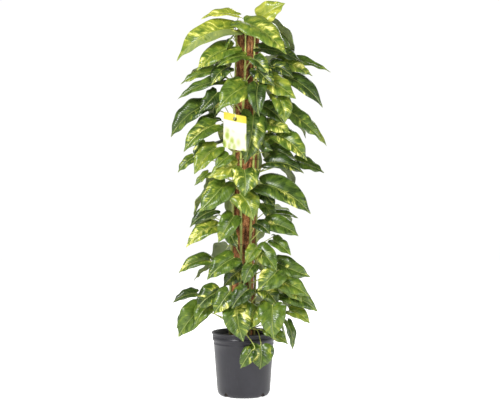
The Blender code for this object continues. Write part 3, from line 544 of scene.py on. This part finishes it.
def read_leaves(node):
    """The leaves of a CAD node, and the points of its mesh that belong to none."""
    mesh = bmesh.new()
    mesh.from_mesh(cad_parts[node].data)
    bmesh.ops.remove_doubles(mesh, verts=mesh.verts, dist=0.002 * MM)
    knife = {}
    for edge in mesh.edges:
        if len(edge.link_faces) == 2 and edge.calc_face_angle() > math.radians(158.0):
            for v in edge.verts:
                knife.setdefault(v, []).append(edge.other_vert(v))
    found, used = [], set()
    for start in [v for v, ends in knife.items() if len(ends) == 1]:
        if start in used:
            continue
        chain = [start]
        while onward := [v for v in knife[chain[-1]] if v not in chain[-2:]]:
            chain.append(onward[0])
        used.update(chain)
        middles = range(len(chain) // 2 - 1, len(chain) // 2 + 2)
        at = min(middles, key=lambda k: (chain[k - 1].co - chain[k].co).angle(chain[k + 1].co - chain[k].co))
        tip, outline = chain[at].co, chain[at - STATIONS:at + STATIONS + 1]
        near = sorted(beside(outline), key=lambda v: (v.co - tip).length)[: 2 * STATIONS]
        ribs = near[::-1]
        neck = beside([outline[0], outline[-1], *ribs[:2]]) - set(near) - set(outline)
        bend = beside(neck) - set(near) - set(outline)
        root = beside(bend) - neck
        used.update(near, neck, bend, root)
        middle = np.array([middle_of(ribs[2 * k:2 * k + 2]) for k in range(STATIONS)])
        one = np.array([v.co for v in outline[:STATIONS]])
        two = np.array([v.co for v in outline[:STATIONS:-1]])
        tip, joint = np.array(tip), middle[0]
        along = unit(tip - joint)
        above = ((one + two) / 2.0 - middle)[1:5].sum(0)
        above = unit(above - along * above.dot(along))
        side = np.cross(along, above)
        if (one - middle).sum(0).dot(side) > 0.0:
            one, two = two, one
        found.append({
            "tip": tip, "joint": joint, "middle": middle, "left": one, "right": two, "along": along, "above": above,
            "length": np.linalg.norm(tip - joint), "neck": middle_of(neck), "bend": middle_of(bend),
            "root": middle_of(root),
        })
    rest = np.array([v.co for v in mesh.verts if v not in used])
    mesh.free()
    return found, rest


leaves, stem_points = {}, {}
for node in sorted(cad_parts):
    if node.startswith(("leaf_", "vine_")):
        leaves[node], stem_points[node] = read_leaves(node)
print(sum(len(found) for found in leaves.values()), "leaves on", len(leaves), "nodes")

# %% [markdown]
# ## What each leaf looks like
# Golden pothos is a chimera: some cells have lost their green, and they show as cream or yellow streaks that follow
# the side veins. No two leaves match, so each has a tone, from dark old green at 0 to young yellow-green at 1, a
# share of cream, and patches where the cream gathers. A patch is placed from -1 to 1 across the blade and from 0 at
# the joint to 1 at the tip, with its size and its strength.

# %% Leaf looks
LOOKS = {
    "leaf_01": (0.76, 0.4, [(0.3, 0.5, 0.5, 0.15)]),
    "leaf_02": (0.56, 0.3, [(-0.3, 0.45, 0.25, 0.5), (0.1, 0.8, 0.2, 0.45)]),
    "leaf_03": (0.44, 0.26, [(0.4, 0.7, 0.25, 0.4)]),
    "leaf_04": (0.74, 0.42, [(0.2, 0.6, 0.4, 0.25)]),
    "leaf_05": (0.62, 0.34, [(0.3, 0.35, 0.35, 0.35), (0.6, 0.8, 0.3, 0.2)]),
    "leaf_06": (0.54, 0.36, [(0.2, 0.75, 0.35, 0.35)]),
    "leaf_07": (0.48, 0.3, []),
    "leaf_08": (0.24, 0.22, []),
    "leaf_09": (0.52, 0.44, [(-0.2, 0.6, 0.4, 0.2)]),
    "leaf_10": (0.4, 0.12, []),
    "leaf_11": (0.28, 0.16, [(0.7, 0.6, 0.3, 0.3)]),
    "leaf_12": (0.6, 0.34, [(0.2, 0.3, 0.3, 0.4)]),
    "leaf_13": (0.52, 0.3, [(0.7, 0.1, 0.25, 0.5), (-0.7, 0.5, 0.25, 0.2)]),
    "leaf_14": (0.26, 0.1, []),
    "leaf_15": (0.38, 0.16, [(0.8, 0.5, 0.3, 0.2)]),
    "leaf_16": (0.52, 0.2, []),
    "leaf_17": (0.52, 0.36, [(0.0, 0.6, 0.4, 0.15)]),
    "leaf_18": (0.38, 0.3, [(0.0, 0.4, 0.3, 0.15)]),
    "leaf_19": (0.32, 0.24, [(-0.5, 0.3, 0.3, 0.2)]),
    "leaf_20": (0.46, 0.38, [(0.2, 0.4, 0.3, 0.45)]),
    "leaf_21": (0.36, 0.3, [(-0.6, 0.45, 0.35, 0.35)]),
    "leaf_22": (0.48, 0.5, [(0.0, 0.5, 0.4, 0.2)]),
    "leaf_23": (0.46, 0.4, [(0.3, 0.75, 0.35, 0.4)]),
    "leaf_24": (0.58, 0.46, []),
    "leaf_25": (0.66, 0.5, [(0.5, 0.2, 0.35, 0.35)]),
    "leaf_26": (0.46, 0.38, [(0.6, 0.3, 0.35, 0.45), (-0.6, 0.05, 0.2, 0.5)]),
    "leaf_27": (0.48, 0.32, [(0.7, 0.5, 0.4, 0.4), (-0.3, 0.9, 0.25, 0.3)]),
    "leaf_28": (0.2, 0.24, [(0.55, 0.6, 0.35, 0.42)]),
    "leaf_29": (0.34, 0.2, [(0.5, 0.5, 0.3, 0.15)]),
    "leaf_30": (0.34, 0.24, [(0.1, 0.45, 0.25, 0.5), (0.5, 0.65, 0.2, 0.4)]),
    "leaf_31": (0.56, 0.36, [(0.5, 0.4, 0.3, 0.3)]),
    "leaf_32": (0.4, 0.22, [(0.0, 0.05, 0.3, 0.6)]),
    "leaf_33": (0.46, 0.34, [(0.3, 0.8, 0.3, 0.35)]),
    "leaf_34": (0.56, 0.5, [(0.3, 0.75, 0.5, 0.35)]),
    "leaf_35": (0.43, 0.34, [(0.1, 0.8, 0.3, 0.5)]),
    "leaf_36": (0.42, 0.28, [(0.3, 0.8, 0.2, 0.3)]),
    "leaf_37": (0.44, 0.32, [(0.4, 0.1, 0.35, 0.55), (-0.5, 0.2, 0.2, 0.3)]),
    "leaf_38": (0.4, 0.22, [(-0.1, 0.3, 0.2, 0.3)]),
    "leaf_39": (0.46, 0.24, [(0.75, 0.55, 0.45, 0.85), (-0.1, 0.9, 0.25, 0.4)]),
    "leaf_40": (0.47, 0.24, [(-0.6, 0.85, 0.3, 0.3)]),
    "leaf_41": (0.44, 0.32, [(-0.55, 0.35, 0.45, 0.55), (0.1, 0.15, 0.2, 0.4)]),
    "leaf_42": (0.47, 0.12, []),
    "leaf_43": (0.4, 0.22, [(0.5, 0.4, 0.3, 0.25)]),
    "leaf_44": (0.42, 0.34, [(0.45, 0.4, 0.3, 0.6), (-0.6, 0.2, 0.25, 0.4)]),
}


def look_of(node, k):
    """The looks of a leaf: from the table, or drawn by chance for a leaf that grew as one piece with its vine."""
    if node in LOOKS:
        return LOOKS[node]
    chance = random.Random(f"{node} {k}")
    patch = (chance.uniform(-0.8, 0.8), chance.uniform(0.1, 0.9), chance.uniform(0.2, 0.45), chance.uniform(0.1, 0.5))
    return chance.uniform(0.22, 0.58), chance.uniform(0.14, 0.44), [patch]


print(len(LOOKS), "leaves have looks of their own")

# %% [markdown]
# ## The blade's finish
# A pothos blade is waxy: a clear cuticle over the green gives it soft highlights, while the underside is paler and
# matte. The pattern is painted in the blade's own coordinates, in millimetres: "vein" holds where the side vein
# through a point leaves the midrib, and how far out the point lies. Noise that is long along the vein and short
# across it then makes streaks that run as the real ones do. They lie within broad flecks, so that the gold comes in
# broken patches and not in even stripes.

# %% Waxy variegated blade
blade_finish, tree, shader = new_material("waxy variegated pothos blade")
paint = add(tree, "Attribute", attribute_name="paint").outputs["Vector"]
vein = add(tree, "Attribute", attribute_name="vein").outputs["Vector"]
tone, cream, under = add(tree, "SeparateXYZ", {0: paint}).outputs
start, out, _ = add(tree, "SeparateXYZ", {0: vein}).outputs
STREAK, RUN = 1.0 / 7.0, 1.0 / 34.0  # a streak is about 7 mm wide and 34 mm long
FLECK, FLECK_RUN = 1.0 / 20.0, 1.0 / 27.0  # and a fleck 20 by 27 mm
flow = add(tree, "VectorMath", {0: vein, 1: (STREAK, RUN, 1.0)}, operation="MULTIPLY")
fine_noise = {"Vector": flow, "Scale": 1.0, "Detail": 5.0, "Roughness": 0.68, "Distortion": 0.9}
streaks = add(tree, "TexNoise", fine_noise)
broad_flow = add(tree, "VectorMath", {0: vein, 1: (FLECK, FLECK_RUN, 1.0)}, operation="MULTIPLY")
broad = add(tree, "TexNoise", {"Vector": broad_flow, "Scale": 1.0, "Detail": 4.0, "Distortion": 0.6})
flecks = add(tree, "Math", {0: broad, 1: 0.62, 2: -0.24}, operation="MULTIPLY_ADD")
mottle = add(tree, "Math", {0: streaks, 1: 0.86, 2: flecks}, operation="MULTIPLY_ADD")
level = add(tree, "Math", {0: cream, 1: -0.42, 2: 0.725}, operation="MULTIPLY_ADD")
level_top = add(tree, "Math", {0: level, 1: 0.19}, operation="ADD")
share = add(tree, "MapRange", {0: mottle, 1: level, 2: level_top})
shift = add(tree, "Math", {0: broad, 1: 0.90, 2: -0.46}, operation="MULTIPLY_ADD")
greenness = add(tree, "Math", {0: tone, 1: shift}, operation="ADD")
greens = [(0.0, "#132007"), (0.25, "#293e11"), (0.50, "#4f671c"), (0.75, "#868f2c"), (1.0, "#b9b647")]
green = add(tree, "ValToRGB", {0: greenness}, greens)
gold = add(tree, "ValToRGB", {0: share}, [(0.0, "#7b8c2a"), (0.50, "#c3c44a"), (1.0, "#e6df8c")])
mixed = add(tree, "Mix", {0: share, 6: green, 7: gold}, data_type="RGBA").outputs[2]
VEIN_STEP = 8.5  # mm between side veins on the midrib
wave = add(tree, "Math", {0: start, 1: math.tau / VEIN_STEP}, operation="MULTIPLY")
ridge = add(tree, "Math", {0: wave}, operation="COSINE")
fine = add(tree, "MapRange", {0: ridge, 1: 0.90, 2: 1.0, 3: 0.0, 4: 0.16})
rib = add(tree, "MapRange", {0: out, 1: 1.6, 2: 0.5, 3: 0.0, 4: 0.55})
drawn_veins = add(tree, "Math", {0: fine, 1: rib}, operation="MAXIMUM")
veined = add(tree, "Mix", {0: drawn_veins, 6: mixed, 7: linear("#a5ad62")}, data_type="RGBA").outputs[2]
paleness = add(tree, "Math", {0: under, 1: 0.45}, operation="MULTIPLY")
wax = add(tree, "MapRange", {0: broad, 1: 0.3, 2: 0.7, 3: 0.24, 4: 0.36})
quilt = add(tree, "Math", {0: streaks, 1: 0.8, 2: ridge}, operation="MULTIPLY_ADD")
plug(shader, {
    "Base Color": add(tree, "Mix", {0: paleness, 6: veined, 7: linear("#8a9660")}, data_type="RGBA").outputs[2],
    "Roughness": add(tree, "Math", {0: under, 1: 0.22, 2: wax}, operation="MULTIPLY_ADD"),
    "Normal": add(tree, "Bump", {"Height": quilt, "Strength": 0.35, "Distance": 0.35 * MM}),
    "IOR": 1.42,
})
print(blade_finish.name, "with side veins", VEIN_STEP, "mm apart")

# %% Stalk and root finishes
# A young stalk is smooth and shines a little; with age the stem turns brown and dull where its leaves have been.
stem_finish, tree, shader = new_material("smooth green pothos stem")
paint = add(tree, "Attribute", attribute_name="paint").outputs["Vector"]
age, scar, _ = add(tree, "SeparateXYZ", {0: paint}).outputs
place = add(tree, "TexCoord").outputs["Object"]
long_marks = add(tree, "Mapping", {"Vector": place, "Scale": (420.0, 420.0, 60.0)})
marks = add(tree, "TexNoise", {"Vector": long_marks, "Scale": 1.0, "Detail": 4.0, "Roughness": 0.6})
worn = add(tree, "Math", {0: marks, 1: 0.6, 2: -0.3}, operation="MULTIPLY_ADD")
aged = add(tree, "Math", {0: age, 1: worn}, operation="ADD")
skin_tones = [(0.0, "#bdc468"), (0.35, "#98a24a"), (0.7, "#76793a"), (1.0, "#554828")]
skin = add(tree, "ValToRGB", {0: aged}, skin_tones)
plug(shader, {
    "Base Color": add(tree, "Mix", {0: scar, 6: skin, 7: linear("#7a5f38")}, data_type="RGBA").outputs[2],
    "Roughness": 0.42,
    "Normal": add(tree, "Bump", {"Height": marks, "Strength": 0.3, "Distance": 0.3 * MM}),
})

# An aerial root dries to a dull brown cork.
root_finish, tree, shader = new_material("corky aerial root")
place = add(tree, "TexCoord").outputs["Object"]
CORK = 1.0 / (1.5 * MM)  # flakes of cork 1.5 mm wide
cork = add(tree, "TexNoise", {"Vector": place, "Scale": CORK, "Detail": 4.0})
browns = add(tree, "ValToRGB", {0: cork}, [(0.3, "#3a2618"), (0.7, "#8a6a45")])
plug(shader, {"Base Color": browns, "Roughness": 0.8})
print(stem_finish.name, "and", root_finish.name)

# %% [markdown]
# ## Growing a blade
# A leaf is best made as a sheet, not sculpted: one curve for the midrib, one for each edge, and between them rows
# of points. The halves rise from the crease and arch over, the edges ripple, the end is drawn out to a drip tip,
# and a second skin below gives it its half millimetre of thickness, with a ridge under the midrib.

# %% Blade and stalk
STEPS, ACROSS = 4, 8
COLUMNS = 2 * ACROSS + 1
RIPPLE, RIPPLE_MOST = 0.085, 4.2 * MM  # as a share of the half's width, and never more than this
EDGE, MIDDLE, RIB, RIB_WIDTH = 0.30 * MM, 0.25 * MM, 0.9 * MM, 1.6 * MM  # the thickness, and what is added inwards
DRIP, DRIP_AT, DRIP_LONG = 0.24, 6.15, 0.55  # how much the drip tip is drawn in, and where, counted in stations
FAN = [-0.15, 0.02, 0.25, 0.6, 1.0], [-0.9, -0.2, 0.45, 0.8, 1.0]  # how far side veins lean on, by the way down
STALK = [0.0, 0.2, 0.45, 0.62, 0.72, 0.8, 1.0], [2.7, 2.3, 1.7, 1.6, 2.0, 1.4, 0.4]  # places along it, radii in mm
STALK_SIDES = 8


def grow_blade(shape, leaf, look, chance):
    """The two skins of a blade, painted with its tone, its cream and the places of its side veins."""
    tone, cream, patches = look
    tip, joint, along, above, length = (leaf[key] for key in ("tip", "joint", "along", "above", "length"))
    middle = spline(np.vstack([leaf["middle"], tip]), STEPS)
    rows = len(middle)
    step = np.arange(rows) / STEPS
    drawn = 1.0 - DRIP * np.exp(-(((step - DRIP_AT) / DRIP_LONG) ** 2))
    share = np.abs(np.linspace(-1.0, 1.0, COLUMNS)) ** 0.92
    grid, out = np.empty((rows, COLUMNS, 3)), np.empty((rows, COLUMNS))
    for sign, edge_points in ((-1, leaf["left"]), (1, leaf["right"])):
        edge = spline(np.vstack([edge_points, tip]), STEPS, before=joint)
        across = (edge - middle) * drawn[:, None]
        width = np.maximum(np.linalg.norm(across, axis=1), 0.3 * MM)
        phase, pace = chance.uniform(0.0, math.tau), chance.uniform(1.5, 2.4)
        ripple = min(RIPPLE * width.max(), RIPPLE_MOST) * np.sin(step * math.tau / pace + phase)
        ripple *= np.clip((7.0 - step) / 2.0, 0.2, 1.0)
        plump, droop = chance.uniform(0.38, 0.62), chance.uniform(0.02, 0.16)
        for c in range(ACROSS, -1, -1) if sign < 0 else range(ACROSS, COLUMNS):
            s = share[c]
            lift = width * (plump * s * (1.0 - s) - droop * s**3) + ripple * s * s
            back = 0.018 * length * math.sin(math.pi * s) * np.clip(1.0 - step, 0.0, 1.0)
            grid[:, c] = middle + across * s + above * lift[:, None] - along * back[:, None]
            out[:, c] = s * width * sign
    down = (grid - joint) @ along / length
    start = (down * length - np.abs(out) * np.interp(down, *FAN)) / MM
    seed = chance.uniform(0.0, 90.0)
    veins = np.stack([start, np.abs(out) / MM, seed + 7.3 * (out > 0.0)], -1)
    signed = out / np.abs(out).max()
    gather = np.full(down.shape, cream)
    for at, where, size, strength in patches:
        gather += strength * np.exp(-(((signed - at) ** 2 + (down - where) ** 2 * 1.4) / size**2))
    ridge = RIB * np.exp(-((out / RIB_WIDTH) ** 2)) * np.clip((6.5 - step) / 6.5, 0.0, 1.0)[:, None]
    thickness = EDGE + MIDDLE * (1.0 - np.abs(signed)) + ridge
    points = np.concatenate([grid, grid - above * thickness[..., None]]).reshape(-1, 3)
    turned = np.cross(grid[8, 9] - grid[8, 8], grid[9, 8] - grid[8, 8]).dot(above) < 0.0
    shade = np.stack([np.full(down.shape, tone), gather, np.zeros(down.shape)], -1).reshape(-1, 3)
    paint = np.vstack([shade, shade + [0.0, 0.0, 1.0]])
    shape.take(points, two_skins(rows, COLUMNS, turned), 0, paint, np.vstack([veins.reshape(-1, 3)] * 2))


def grow_stalk(shape, leaf, chance):
    """Thick where it clasps the stem, thin, a little swollen just before the blade, and on as the midrib."""
    root, bend, neck, joint, above = (leaf[key] for key in ("root", "bend", "neck", "joint", "above"))
    clasp = root + unit(root - bend) * 5.0 * MM
    under_rib = leaf["middle"][3] - above * 1.0 * MM
    path = spline([clasp, root, bend, neck, joint - above * 0.8 * MM, under_rib], 6)
    place = np.linspace(0.0, 1.0, len(path))
    points, faces = tube(path, np.interp(place, *STALK) * MM, STALK_SIDES)
    age = np.repeat(chance.uniform(0.05, 0.3) + 0.2 * (1.0 - place), STALK_SIDES)
    shape.take(points, faces, 1, np.stack([age, 0.0 * age, 0.0 * age], -1))


FINISHES = [blade_finish, stem_finish, root_finish]
for node in sorted(LOOKS):
    chance = random.Random(node)
    shape = Shape()
    for leaf in leaves[node]:
        grow_blade(shape, leaf, LOOKS[node], chance)
        grow_stalk(shape, leaf, chance)
    settle(shape.piece(f"{node}_blade", FINISHES[:2], sharp=70.0), "pothos_leaf", node)

# %% [markdown]
# ## The climbing stems
# A pothos stem is a green cord about 9 mm thick. It swells at each joint, where a leaf stalk clasps it and short
# brown roots grow out to grip the pole. The CAD stems give the middle line: their rings of six points lie one above
# the other, so points of nearly the same height are averaged. Leaves that grew as one solid with a stem are drawn
# with it.

# %% Stems, joints and aerial roots
STEM_RADIUS, STEM_SIDES = 4.5 * MM, 12
SWELL, SWELL_MOST, SWELL_LENGTH, SCAR_LENGTH = 1.1 * MM, 1.4 * MM, 6.0 * MM, 1.5 * MM


def stem_line(points):
    """The middles of a stem's rings, from the lowest up."""
    order = points[np.argsort(points[:, 2])]
    breaks = np.where(np.diff(order[:, 2]) > 12.0 * MM)[0] + 1
    rings = [np.unique(np.round(group, 5), axis=0) for group in np.split(order, breaks)]
    return np.array([ring.mean(0) for ring in rings if len(ring) >= 5])


lines = {node: spline(stem_line(points), 8) for node, points in stem_points.items() if node.startswith("vine_")}
joints = {node: [] for node in lines}
for found in leaves.values():
    for leaf in found:
        nearest = min(lines, key=lambda name: np.linalg.norm(lines[name] - leaf["root"], axis=1).min())
        joints[nearest].append(leaf["root"][2] - 3.0 * MM)


def grow_roots(shape, line, height, chance):
    """One to three short roots that leave a joint and lie on the coir."""
    at = line[np.abs(line[:, 2] - height).argmin()]
    for _ in range(chance.randint(1, 3)):
        turn = chance.choice((-1.0, 1.0))
        length = chance.uniform(8.0, 34.0) * MM
        away = at - pole_axis(at[2])
        bearing, reach = math.atan2(away[1], away[0]), math.hypot(away[0], away[1])
        path, drop = [], chance.uniform(-0.5, 0.7)
        for k in range(7):
            t = k / 6.0
            around = bearing + turn * (0.06 + length * t / pole_radius)
            out = reach + (pole_radius - reach) * min(t * 1.6, 1.0) + chance.uniform(-0.4, 0.6) * MM
            z = at[2] - length * drop * t + chance.uniform(-0.6, 0.6) * MM
            path.append(ring_point(pole_axis(z), out, around, z))
        shape.take(*tube(path, np.linspace(1.1, 0.35, 7) * MM, 5), 2)


for node, line in lines.items():
    chance = random.Random(node)
    fine = spline(line, 3)
    level = fine[:, 2]
    foot, top, span = level[0], level[-1], level[-1] - level[0]
    swell, scars = np.zeros(len(fine)), np.zeros(len(fine))
    for height in joints[node]:
        swell += SWELL * np.exp(-(((level - height) / SWELL_LENGTH) ** 2))
        scars += 0.6 * np.exp(-(((level - height) / SCAR_LENGTH) ** 2))
    radius = STEM_RADIUS * np.interp(level, [foot, top - 0.2 * span, top], [1.06, 0.96, 0.6])
    points, faces = tube(fine, radius + np.minimum(swell, SWELL_MOST), STEM_SIDES)
    age = np.interp(level, [foot, foot + 0.3 * span, top], [0.85, 0.45, 0.05])
    paint = np.stack([age, np.clip(scars, 0.0, 0.8), 0.0 * age], -1)
    shape = Shape()
    shape.take(points, faces, 1, np.repeat(paint, STEM_SIDES, 0))
    for height in joints[node]:
        grow_roots(shape, line, height, chance)
    for k, leaf in enumerate(leaves[node]):
        grow_blade(shape, leaf, look_of(node, k), chance)
        grow_stalk(shape, leaf, chance)
    settle(shape.piece(f"{node}_grown", FINISHES, sharp=70.0), "pothos_stem", node)

# %% [markdown]
# ## The care tag
# The tag is printed card, punched and hung from a thin loop round the front stem. Its plane is found from the CAD
# card: the three directions in which its points spread most, less and least are its height, its width and its
# thickness. The piece keeps those as its own axes, so that the print can be laid out in the card's millimetres. The
# print is plain: a yellow band, and a soft picture of leaves with no words. Its lacquer shines a little over the
# fibres of the paper.

# %% Printed card
card_points = np.unique(np.round([v.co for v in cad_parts["care_tag"].data.vertices], 6), axis=0)
spread = np.linalg.svd(card_points - card_points.mean(0), full_matrices=False)[2]
up, across = spread[0] * np.sign(spread[0][2]), spread[1] * np.sign(spread[1][0])
face = np.cross(across, up)
local = card_points @ np.array([across, up, face]).T
size, centre = local.max(0) - local.min(0), (local.max(0) + local.min(0)) / 2.0
centre = centre @ np.array([across, up, face])
print("card", [round(1000 * s, 1) for s in size], "mm, facing", face.round(2))

printed_card, tree, shader = new_material("printed card")
x, y, _ = add(tree, "SeparateXYZ", {0: add(tree, "TexCoord").outputs["Object"]}).outputs
BAND_LOW, BAND_SOFT = 40.0 * MM, 1.5 * MM  # where the yellow band starts above the card's middle
LEAF_PRINT, PAPER = 1.0 / (34.0 * MM), 1.0 / (0.8 * MM)  # the picture's leaves, and the paper's fibres
band = add(tree, "MapRange", {0: y, 1: BAND_LOW, 2: BAND_LOW + BAND_SOFT})
place = add(tree, "CombineXYZ", {0: x, 1: y})
leaf_place = add(tree, "Mapping", {"Vector": place, "Rotation": (0.0, 0.0, 0.7), "Scale": (1.0, 0.55, 1.0)})
picture = add(tree, "TexVoronoi", {"Vector": leaf_place, "Scale": LEAF_PRINT * 1.4, "Randomness": 0.9})
wash = add(tree, "TexNoise", {"Vector": place, "Scale": LEAF_PRINT * 0.8, "Detail": 3.0})
leafy = add(tree, "ValToRGB", {0: picture}, [(0.10, "#5a7726"), (0.34, "#9fae4a"), (0.60, "#d8d5c0")])
fade = add(tree, "MapRange", {0: y, 1: 30.0 * MM, 2: -10.0 * MM, 3: 0.0, 4: 1.0})
strength = add(tree, "Math", {0: wash, 1: fade}, operation="MULTIPLY")
shown = add(tree, "MapRange", {0: strength, 1: 0.22, 2: 0.40})
body = add(tree, "Mix", {0: shown, 6: linear("#dad9cd"), 7: leafy}, data_type="RGBA").outputs[2]
gold_print = add(tree, "ValToRGB", {0: wash}, [(0.3, "#c6b52c"), (0.7, "#cfc95c")])
fibres = add(tree, "TexNoise", {"Vector": place, "Scale": PAPER, "Detail": 2.0})
plug(shader, {
    "Base Color": add(tree, "Mix", {0: band, 6: body, 7: gold_print}, data_type="RGBA").outputs[2],
    "Roughness": 0.38,
    "Normal": add(tree, "Bump", {"Height": fibres, "Strength": 0.08, "Distance": 0.1 * MM}),
})

# %% The bent card and its hole
CARD_CORNER, CARD_BEND, CARD_CURL = 4.0 * MM, 2.2 * MM, 1.2 * MM
CARD_COLUMNS, CARD_ROWS = 25, 37
half_w, half_h = size[0] / 2.0, size[1] / 2.0
grid = np.empty((CARD_ROWS, CARD_COLUMNS, 3))
for r, v in enumerate(np.linspace(-1.0, 1.0, CARD_ROWS)):
    inset = max(0.0, abs(v) * half_h - (half_h - CARD_CORNER))
    width = half_w - (CARD_CORNER - math.sqrt(max(CARD_CORNER**2 - inset**2, 0.0)))
    for c, u in enumerate(np.linspace(-1.0, 1.0, CARD_COLUMNS)):
        grid[r, c] = (u * width, v * half_h, CARD_BEND * u * u - CARD_CURL * (u * v if v < 0 else 0.0))
card = Shape()
card.take(np.concatenate([grid, grid - [0.0, 0.0, size[2]]]).reshape(-1, 3), two_skins(CARD_ROWS, CARD_COLUMNS))
tag = card.piece("care_tag_card", [printed_card], sharp=40.0)
HOLE_SIDES, HOLE_RADIUS, HOLE_DOWN, PUNCH = 48, 8.0 * MM, 19.0 * MM, 6.0 * MM
punch = Shape()
ring = np.arange(HOLE_SIDES) * math.tau / HOLE_SIDES
circle = np.stack([HOLE_RADIUS * np.cos(ring), half_h - HOLE_DOWN + HOLE_RADIUS * np.sin(ring)], -1)
ends = [np.column_stack([circle, np.full(HOLE_SIDES, z)]) for z in (-PUNCH, PUNCH)]
punch.take(np.vstack(ends), barrel(2, HOLE_SIDES))
cut(tag, punch.piece("punch", []), 40.0)
tag.matrix_world = Matrix.Translation(centre) @ Matrix((across, up, face)).transposed().to_4x4()
settle(tag, "printed_card", "care_tag")

# The loop is braided over rubber, so it is dull and shows its threads.
elastic, tree, shader = new_material("white elastic cord")
place = add(tree, "TexCoord").outputs["Object"]
BRAID = 1.0 / (0.9 * MM)  # threads 0.9 mm wide
braid = add(tree, "TexNoise", {"Vector": place, "Scale": BRAID, "Detail": 2.0})
threads = add(tree, "ValToRGB", {0: braid}, [(0.3, "#c9c9bd"), (0.7, "#e8e8de")])
plug(shader, {"Base Color": threads, "Roughness": 0.6})
rounded("tag_loop", elastic)

# %% [markdown]
# ## Floor, light and camera
# A plant nursery shows its plants on white. The world is white at the horizon and dimmer above and below, so that
# every side is lit softly and the leaves still shade each other. A large lamp at the upper left gives the leaves
# their highlights, a weaker one fills the right, and a third behind lights the rims of the leaves. The camera stands
# four metres away and looks straight on, so that the pot and the top of the pole are seen without the lens's tilt.

# %% The stage
STAGE_RADIUS, STAGE_SIDES = 9.0, 64
edge = [ring_point((0.0, 0.0), STAGE_RADIUS, a, 0.0) for a in np.arange(STAGE_SIDES) * math.tau / STAGE_SIDES]
floor_mesh = bpy.data.meshes.new("floor")
floor_mesh.from_pydata(edge, [], [list(range(STAGE_SIDES))])
floor = link("floor", floor_mesh)
floor_finish, tree, shader = new_material("matte white floor")
place = add(tree, "TexCoord").outputs["Object"]
wear = add(tree, "TexNoise", {"Vector": place, "Scale": 3.0, "Detail": 3.0})
plug(shader, {
    "Base Color": add(tree, "ValToRGB", {0: wear}, [(0.3, "#f6f6f5"), (0.7, "#fbfbfa")]),
    "Roughness": 0.9,
    "Emission Color": (1.0, 1.0, 1.0, 1.0),
    "Emission Strength": 0.80,  # the sweep glows a little, as one lit from behind does
})
floor_mesh.materials.append(floor_finish)

world = bpy.data.worlds.new("white studio")
bpy.context.scene.world = world
world.use_nodes = True
sky = world.node_tree
towards = add(sky, "SeparateXYZ", {0: add(sky, "TexCoord").outputs["Generated"]}).outputs[2]
height = add(sky, "Math", {0: towards}, operation="ABSOLUTE")
shade = add(sky, "ValToRGB", {0: height}, [(0.21, "#ffffff"), (0.48, "#868686")])
plug(sky.nodes["Background"], {"Color": shade, "Strength": 1.02})
bpy.context.scene.view_settings.view_transform = "Standard"


def lamp(name, place, target, size, watts):
    light = bpy.data.lights.new(name, "AREA")
    light.size, light.energy = size, watts
    made = link(name, light)
    made.location = place
    made.rotation_euler = (Vector(target) - Vector(place)).to_track_quat("-Z", "Y").to_euler()


lamp("key", (-1.9, -2.6, 2.9), (0.0, 0.0, 0.9), 0.9, 150.0)
lamp("fill", (2.4, -2.2, 1.3), (0.0, 0.0, 0.7), 1.2, 42.0)
lamp("back", (0.8, 2.4, 2.6), (0.0, 0.0, 0.9), 1.4, 40.0)

camera = bpy.data.cameras.new("camera")
camera.lens, camera.sensor_width = 76.0, 36.0
view = link("camera", camera)
view.location = (24.0 * MM, -4.0, 737.0 * MM)
view.rotation_euler = (math.radians(90.0), 0.0, 0.0)
bpy.context.scene.camera = view
print("camera", list(view.location), "lens", camera.lens)
